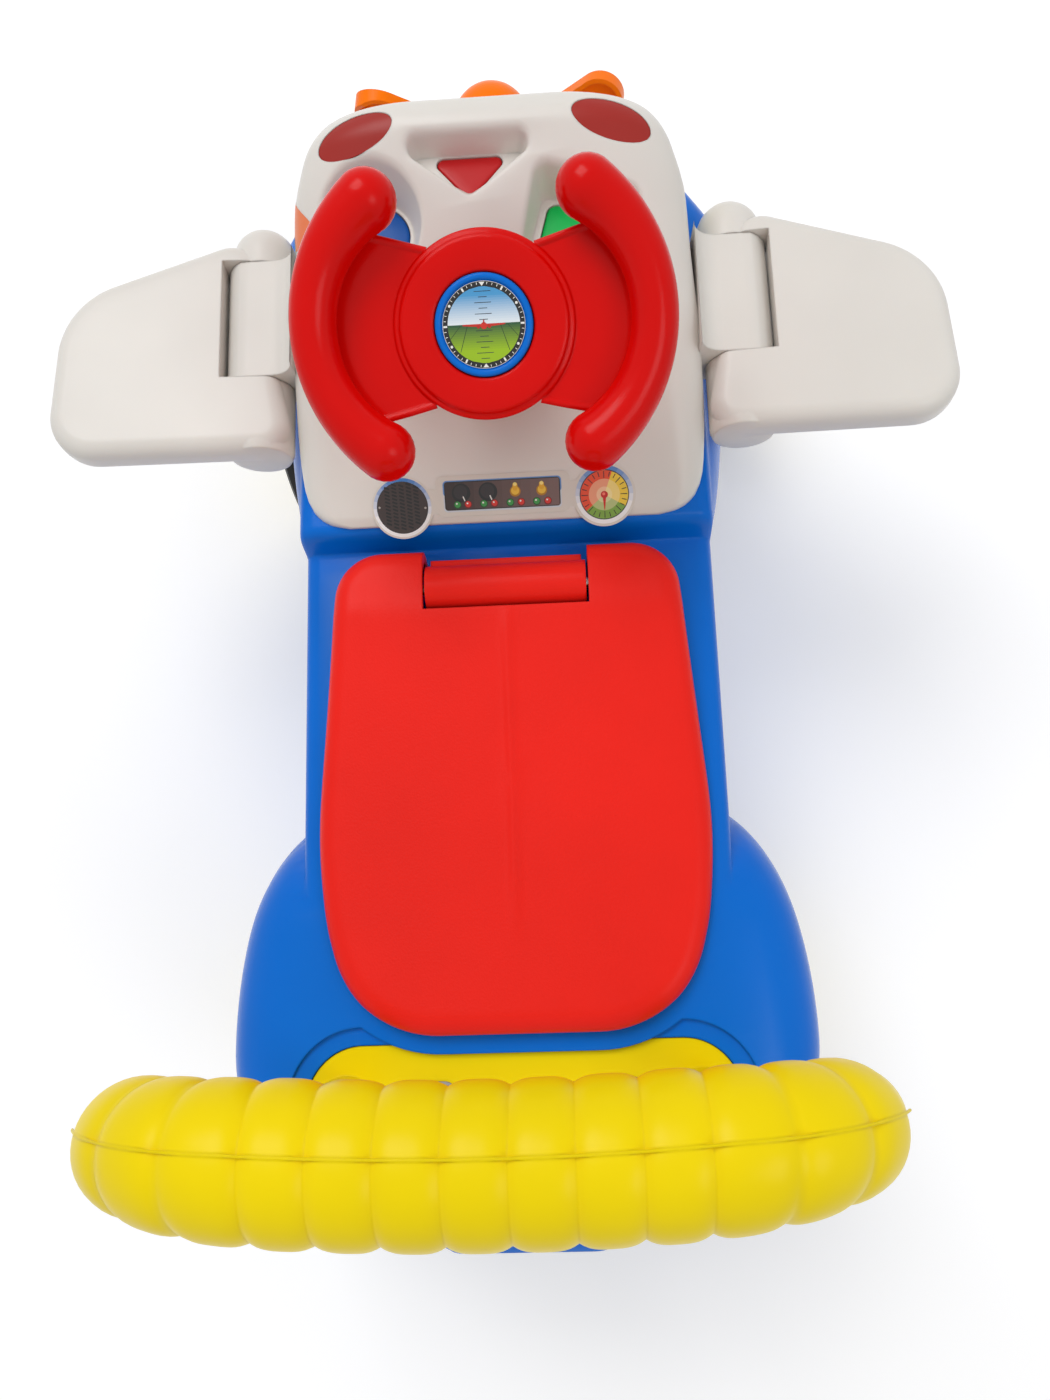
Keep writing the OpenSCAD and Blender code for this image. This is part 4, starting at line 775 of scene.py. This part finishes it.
def rim(u, v, r0, r1):
    """Chrome ring: blue where it faces the sky, white below."""
    for a in range(0, 360, 15):
        f = (1 - math.sin(math.radians(a + 7.5))) / 2
        label.append((sector(u, v, r0, r1, a, a + 15.2, 5), between(ink(60, 120, 190), ink(240, 240, 240), min(1, f * 1.5)), 1))
    label.append((sector(u, v, r0 - 0.5, r0, 0, 180, 30), ink(30, 30, 40), 2))
    label.append((sector(u, v, r0 - 0.5, r0, 180, 360, 30), ink(30, 30, 40), 2))


rim(-54, -0.6, 13.9, 15.7)
label.append((round_spot(-54, -0.6, 13.6, 72), ink(56, 44, 42), 3))
for i in range(-2, 3):
    reach = math.sqrt(12.3**2 - (i * 3.9) ** 2)
    for v in np.arange(-reach, reach, 1.9):
        label.append((bar(-54 + i * 3.9, v + 0.5, 2.9, 1.0, -22), ink(12, 10, 10), 4))
label += [(round_spot(-54 + x, -0.6 - 0.05 * x, 0.6, 16), ink(170, 165, 160), 5) for x in (-12.4, 12.4)]
label += [(round_box(-31.6, 32, -4.3, 12.4, 2.2), chrome, 1), (round_box(-31.6, 32, 4, 12.4, 2.2), ink(96, 140, 200), 2),
          (round_box(-30.9, 31.3, -3.4, 11.8, 1.7), ink(30, 26, 30), 3)]
for i in range(12):
    u = -30.3 + i * 5.08
    label.append(([(u, -2.9), (u + 5.1, -2.9), (u + 5.1, 11.3), (u, 11.3)], between(ink(50, 36, 34), ink(116, 92, 88), i / 11), 4))
for u in (-21.9, -7.4):
    label += [(round_spot(u, 5.7, 5.0, 40), ink(20, 18, 20), 5), (round_spot(u - 0.3, 6.1, 3.7, 36), ink(44, 38, 40), 6),
              (bar(u + 1.4, 2.6, 2.6, 0.6, -68), white, 7)]
for u in (7.2, 21.4):
    label += [(round_spot(u, 5.3, 2.9, 28), ink(176, 120, 20), 5), (round_spot(u, 5.6, 2.2, 28), ink(236, 190, 60), 6),
              (round_box(u - 1.3, u + 1.3, 5.6, 9.9, 1.2), ink(226, 170, 40), 7), (round_spot(u, 9.0, 1.0, 20), ink(250, 226, 130), 8)]
for i, u in enumerate((-24.1, -18.4, -9.9, -4.2, 4.3, 10.2, 18.5, 24.5)):
    lit, rim_c = ((ink(60, 150, 70), ink(20, 70, 30)), (ink(214, 50, 40), ink(110, 16, 14)))[i % 2]
    label += [(round_spot(u, -0.5, 2.1, 24), rim_c, 5), (round_spot(u, -0.4, 1.6, 24), lit, 6), (round_spot(u - 0.4, 0.1, 0.5, 12), white, 7)]
rim(54.7, 1.2, 13.2, 15.4)
GU, GV = 54.7, 1.2
for a in range(0, 360, 10):
    colour = ink(226, 74, 40) if 70 <= a < 215 else ink(236, 200, 60) if a < 70 or a >= 330 else ink(120, 160, 60)
    label.append((sector(GU, GV, 8.3, 12.7, a, a + 10.1, 4), colour, 3))
    label.append((sector(GU, GV, 4.2, 8.3, a, a + 10.1, 4), between(colour, ink(250, 236, 190), 0.35), 3))
    label.append((sector(GU, GV, 0.1, 4.2, a, a + 10.1, 4), between(colour, ink(250, 236, 190), 0.6), 3))
label += [(sector(GU, GV, 9.6 if a % 45 else 8.6, 12.2, a - 1.2, a + 1.2, 3), ink(40, 20, 18), 4) for a in range(0, 360, 15)]
label += [([(GU - 1.0, GV), (GU + 1.0, GV), (GU + 0.2, GV - 8), (GU - 0.2, GV - 8)], ink(200, 20, 16), 5),
          (round_spot(GU, GV, 1.9, 28), ink(190, 24, 20), 6), (round_spot(GU - 0.3, GV + 0.4, 0.8, 16), ink(240, 120, 100), 7)]
stands(printed("label_print", label, lambda u, v, layer: dash(u, v, 0.45 + 0.03 * layer)), "body", None)

# Wings
AX, AZ, SLOT = 130.0, 252.0, (126.0, 194.5)
TIP = 241.0
wing_c = [(128, 99.5, 15), (TIP - 25, 107.5, 25), (TIP - 48, 141, 46), (146, 190, 17)]


def wing_ring(inset, z):
    return [(x - AX, y, z) for x, y in circles_outline(wing_c, inset)]


def wing(s):
    top = 18.0
    prof = [(7, -3), (3.5, -2.4), (1.4, -0.8), (0.3, 1.6), (0, 4), (0, 9)]
    prof += [(9 * (1 - math.cos(a)), 9 + 9 * math.sin(a)) for a in np.linspace(0.15, math.pi / 2, 10)]
    prof += [(14, top + 0.05), (20, top)]
    w = loft("wing", [wing_ring(i, z) for i, z in prof], WHITE, sharp=30)
    kn = []
    for y0, y1, cap in ((97, 125.6, 0), (194.9, 205, 1)):
        p = [(0, y0 - 17.5)] if not cap else [(0, y0)]
        if cap:
            p += [(17.5, y0), (17.5, y1)] + [(17.5 * math.cos(a), y1 + 17.5 * math.sin(a)) for a in np.linspace(0.1, math.pi / 2, 12)]
        else:
            p = [(0, 84.8), (13.0, 84.8), (16.0, 85.8), (17.5, 89), (17.5, y1), (0, y1)]
        kn.append(lathe("kn", p, WHITE, 64, to=lambda x, y, z: (x, z, y)))
    cut(w, kn, op="UNION")
    cut(w, [block("t", -60, 19.7, SLOT[0] - 0.4, SLOT[1] + 0.4, -40, 40)], sharp=30)
    a = -math.radians(4)
    for v in w.data.vertices:
        x, y, z = v.co.x * 1000, v.co.y * 1000 - SHIFT, v.co.z * 1000
        x, z = x * math.cos(a) + z * math.sin(a), -x * math.sin(a) + z * math.cos(a)
        v.co = ((x + AX) * s / 1000, (y + SHIFT) / 1000, (z + AZ) / 1000)
    if s < 0:
        w.data.flip_normals()
    return w


def root(s):
    """Fixed root: a flat top that rounds down to the hinge line and sweeps up into the cowl's side."""
    sweep = [(-9.5 - 13 * math.cos(a), 30.2 - 13 * math.sin(a)) for a in np.linspace(0, math.pi / 2, 12)]
    nose = [(19.3 * math.cos(a), 19.3 * math.sin(a)) for a in np.linspace(math.radians(63), math.radians(-62), 28)]
    line = [(-23, -11)] + sweep + [(4, 17.25)] + nose + [(0, -17)]
    rings = [[(s * (AX + x), y, AZ + z) for x, z in line] for y in SLOT]
    return loft("root", rings, WHITE, sharp=30)


for s, side in ((-1, "left"), (1, "right")):
    stands(root(s), "body", "white_shell", "wing_root_" + side)
stands(wing(-1), "left_wing", "white_shell", "wing_left")
stands(wing(1), "right_wing", "white_shell", "wing_right")

# Push handle
GY, GZ, GFLAT, GR, RIB = -232.6, 450.0, 72.0, 48.0, 23.6
BX, BZ = GFLAT + GR, GZ - GR
LEAN, BOW = 0.09, 6.0
pitch = 2 * (GFLAT + GR * math.pi * 0.34) / 13
half = GFLAT + GR * math.pi / 2
span = pitch * 6.5
NS = 48


def grip_ring(t, r):
    if abs(t) < GFLAT:
        a, p = 0.0, (t, GZ)
    else:
        a = math.copysign((abs(t) - GFLAT) / GR, t)
        p = (math.copysign(GFLAT + GR * math.sin(abs(a)), t), BZ + GR * math.cos(a))
    y = GY - (GZ - p[1]) * LEAN + BOW * (p[0] / 110) ** 2
    return [(p[0] + r * math.sin(q) * math.sin(a), y + r * math.cos(q), p[1] + r * math.sin(q) * math.cos(a))
            for q in np.linspace(0, 2 * math.pi, NS, endpoint=False)]


def leg_ring(s, f):
    top_y = GY - (GZ - BZ) * LEAN + BOW * (BX / 110) ** 2
    c = (90 + (BX - 90) * f, -258 + (top_y + 258) * f, 213 + (BZ - 213) * f)
    r = 13 + 2.5 * f + 6 * (1 - f) ** 10
    return [(s * (c[0] + r * math.sin(q)), c[1] + r * math.cos(q), c[2]) for q in np.linspace(0, 2 * math.pi, NS, endpoint=False)]


def taper(t):
    return 17.2 - 1.7 * (t - span) / (half - span)


rings = [leg_ring(-1, f) for f in np.concatenate([np.linspace(0, 0.2, 10), np.linspace(0.25, 0.97, 10)])]
ends = [t for t in np.linspace(half, span + 1.5, 8)]
rings += [grip_ring(-t, taper(t)) for t in ends]
for i in range(13):
    for q in np.linspace(0, 1, 14, endpoint=False):
        bump = 1 - abs(2 * q - 1) ** 3.2
        t = -span + (i + q) * pitch
        shrink = 1 - 0.16 * max(0, (abs(t) - 60) / (span - 60)) ** 1.5
        rings.append(grip_ring(t, (RIB - 1.9 + 1.9 * bump) * shrink))
rings += [grip_ring(t, taper(t)) for t in reversed(ends)]
rings += [leg_ring(1, f) for f in reversed(np.concatenate([np.linspace(0, 0.2, 10), np.linspace(0.25, 0.97, 10)]))]
handle = loft("handle", rings, YELLOW, sharp=50)
seam = [Vector(grip_ring(t, (RIB - 0.25) * (1 - 0.16 * max(0, (abs(t) - 60) / (span - 60)) ** 1.5))[10]) for t in np.linspace(-span, span, 90)]
seam = tube("seam", seam, 0.5, YELLOW, 10)
foot = prism("foot", circles_outline(foot_c, 0), DECK - 11, DECK - 4, YELLOW)
cut(foot, [prism("t", circles_outline(seat_c, -10), 140, 280)])
handle = join("handle", [handle, foot, seam])
stands(handle, "body", "yellow", "push_handle")

# Floor, light, camera
floor_m = bpy.data.materials.new("floor")
floor_m.use_nodes = True
t = floor_m.node_tree
b = t.nodes["Principled BSDF"]
b.inputs["Base Color"].default_value = (0.88, 0.88, 0.88, 1)
b.inputs["Roughness"].default_value = 0.9
b.inputs["Specular IOR Level"].default_value = 0.0


def seen_rays(tree):
    """1 for camera, glossy and transmission rays, 0 for the rays that light things."""
    path = tree.nodes.new("ShaderNodeLightPath")
    total = path.outputs["Is Camera Ray"]
    for name in ("Is Glossy Ray", "Is Transmission Ray"):
        add = tree.nodes.new("ShaderNodeMath")
        add.operation, add.use_clamp = "ADD", True
        tree.links.new(total, add.inputs[0])
        tree.links.new(path.outputs[name], add.inputs[1])
        total = add.outputs[0]
    return total


def seen_strength(tree, low, high, socket):
    span = tree.nodes.new("ShaderNodeMapRange")
    span.inputs["To Min"].default_value, span.inputs["To Max"].default_value = low, high
    tree.links.new(seen_rays(tree), span.inputs["Value"])
    tree.links.new(span.outputs["Result"], socket)


b.inputs["Emission Color"].default_value = (1, 1, 1, 1)
seen_strength(t, 0.0, 0.26, b.inputs["Emission Strength"])
me = bpy.data.meshes.new("floor")
me.from_pydata([(-6, -6, 0), (6, -6, 0), (6, 6, 0), (-6, 6, 0)], [], [(0, 1, 2, 3)])
floor = bpy.data.objects.new("floor", me)
me.materials.append(floor_m)
bpy.context.scene.collection.objects.link(floor)

world = bpy.data.worlds.new("world")
bpy.context.scene.world = world
world.use_nodes = True
bg = world.node_tree.nodes["Background"]
bg.inputs["Color"].default_value = (1, 1, 1, 1)
seen_strength(world.node_tree, 0.56, 1.0, bg.inputs["Strength"])


def area(name, loc, target, size, power, size_y=None):
    l = bpy.data.lights.new(name, "AREA")
    l.energy, l.size = power, size
    if size_y:
        l.shape, l.size_y = "RECTANGLE", size_y
    o = bpy.data.objects.new(name, l)
    o.location = loc
    o.rotation_euler = (Vector(target) - Vector(loc)).to_track_quat("-Z", "Y").to_euler()
    bpy.context.scene.collection.objects.link(o)
    return o


area("key", (-0.6, 0.9, 2.2), (0, 0, 0.2), 1.1, 21)
area("fill", (1.2, -0.8, 1.8), (0, 0, 0.2), 0.8, 6)

cam_data = bpy.data.cameras.new("cam")
cam = bpy.data.objects.new("cam", cam_data)
bpy.context.scene.collection.objects.link(cam)
bpy.context.scene.camera = cam
e, yaw, roll = math.radians(78.24), math.radians(12.24), math.radians(-14.33)
f = Vector((-math.sin(yaw) * math.cos(e), math.cos(yaw) * math.cos(e), -math.sin(e)))
r = Vector((math.cos(yaw), math.sin(yaw), 0))
u = r.cross(f)
r2 = math.cos(roll) * r + math.sin(roll) * u
u2 = -math.sin(roll) * r + math.cos(roll) * u
m = Matrix((r2, u2, -f)).transposed().to_4x4()
m.translation = Vector((0.0322, (-160.9 + SHIFT) / 1000, 0.7797))
cam.matrix_world = m
cam_data.lens = 1052 / 1400 * 36
cam_data.sensor_width = 36
cam_data.clip_start = 0.01

bpy.context.scene.view_settings.view_transform = "Standard"
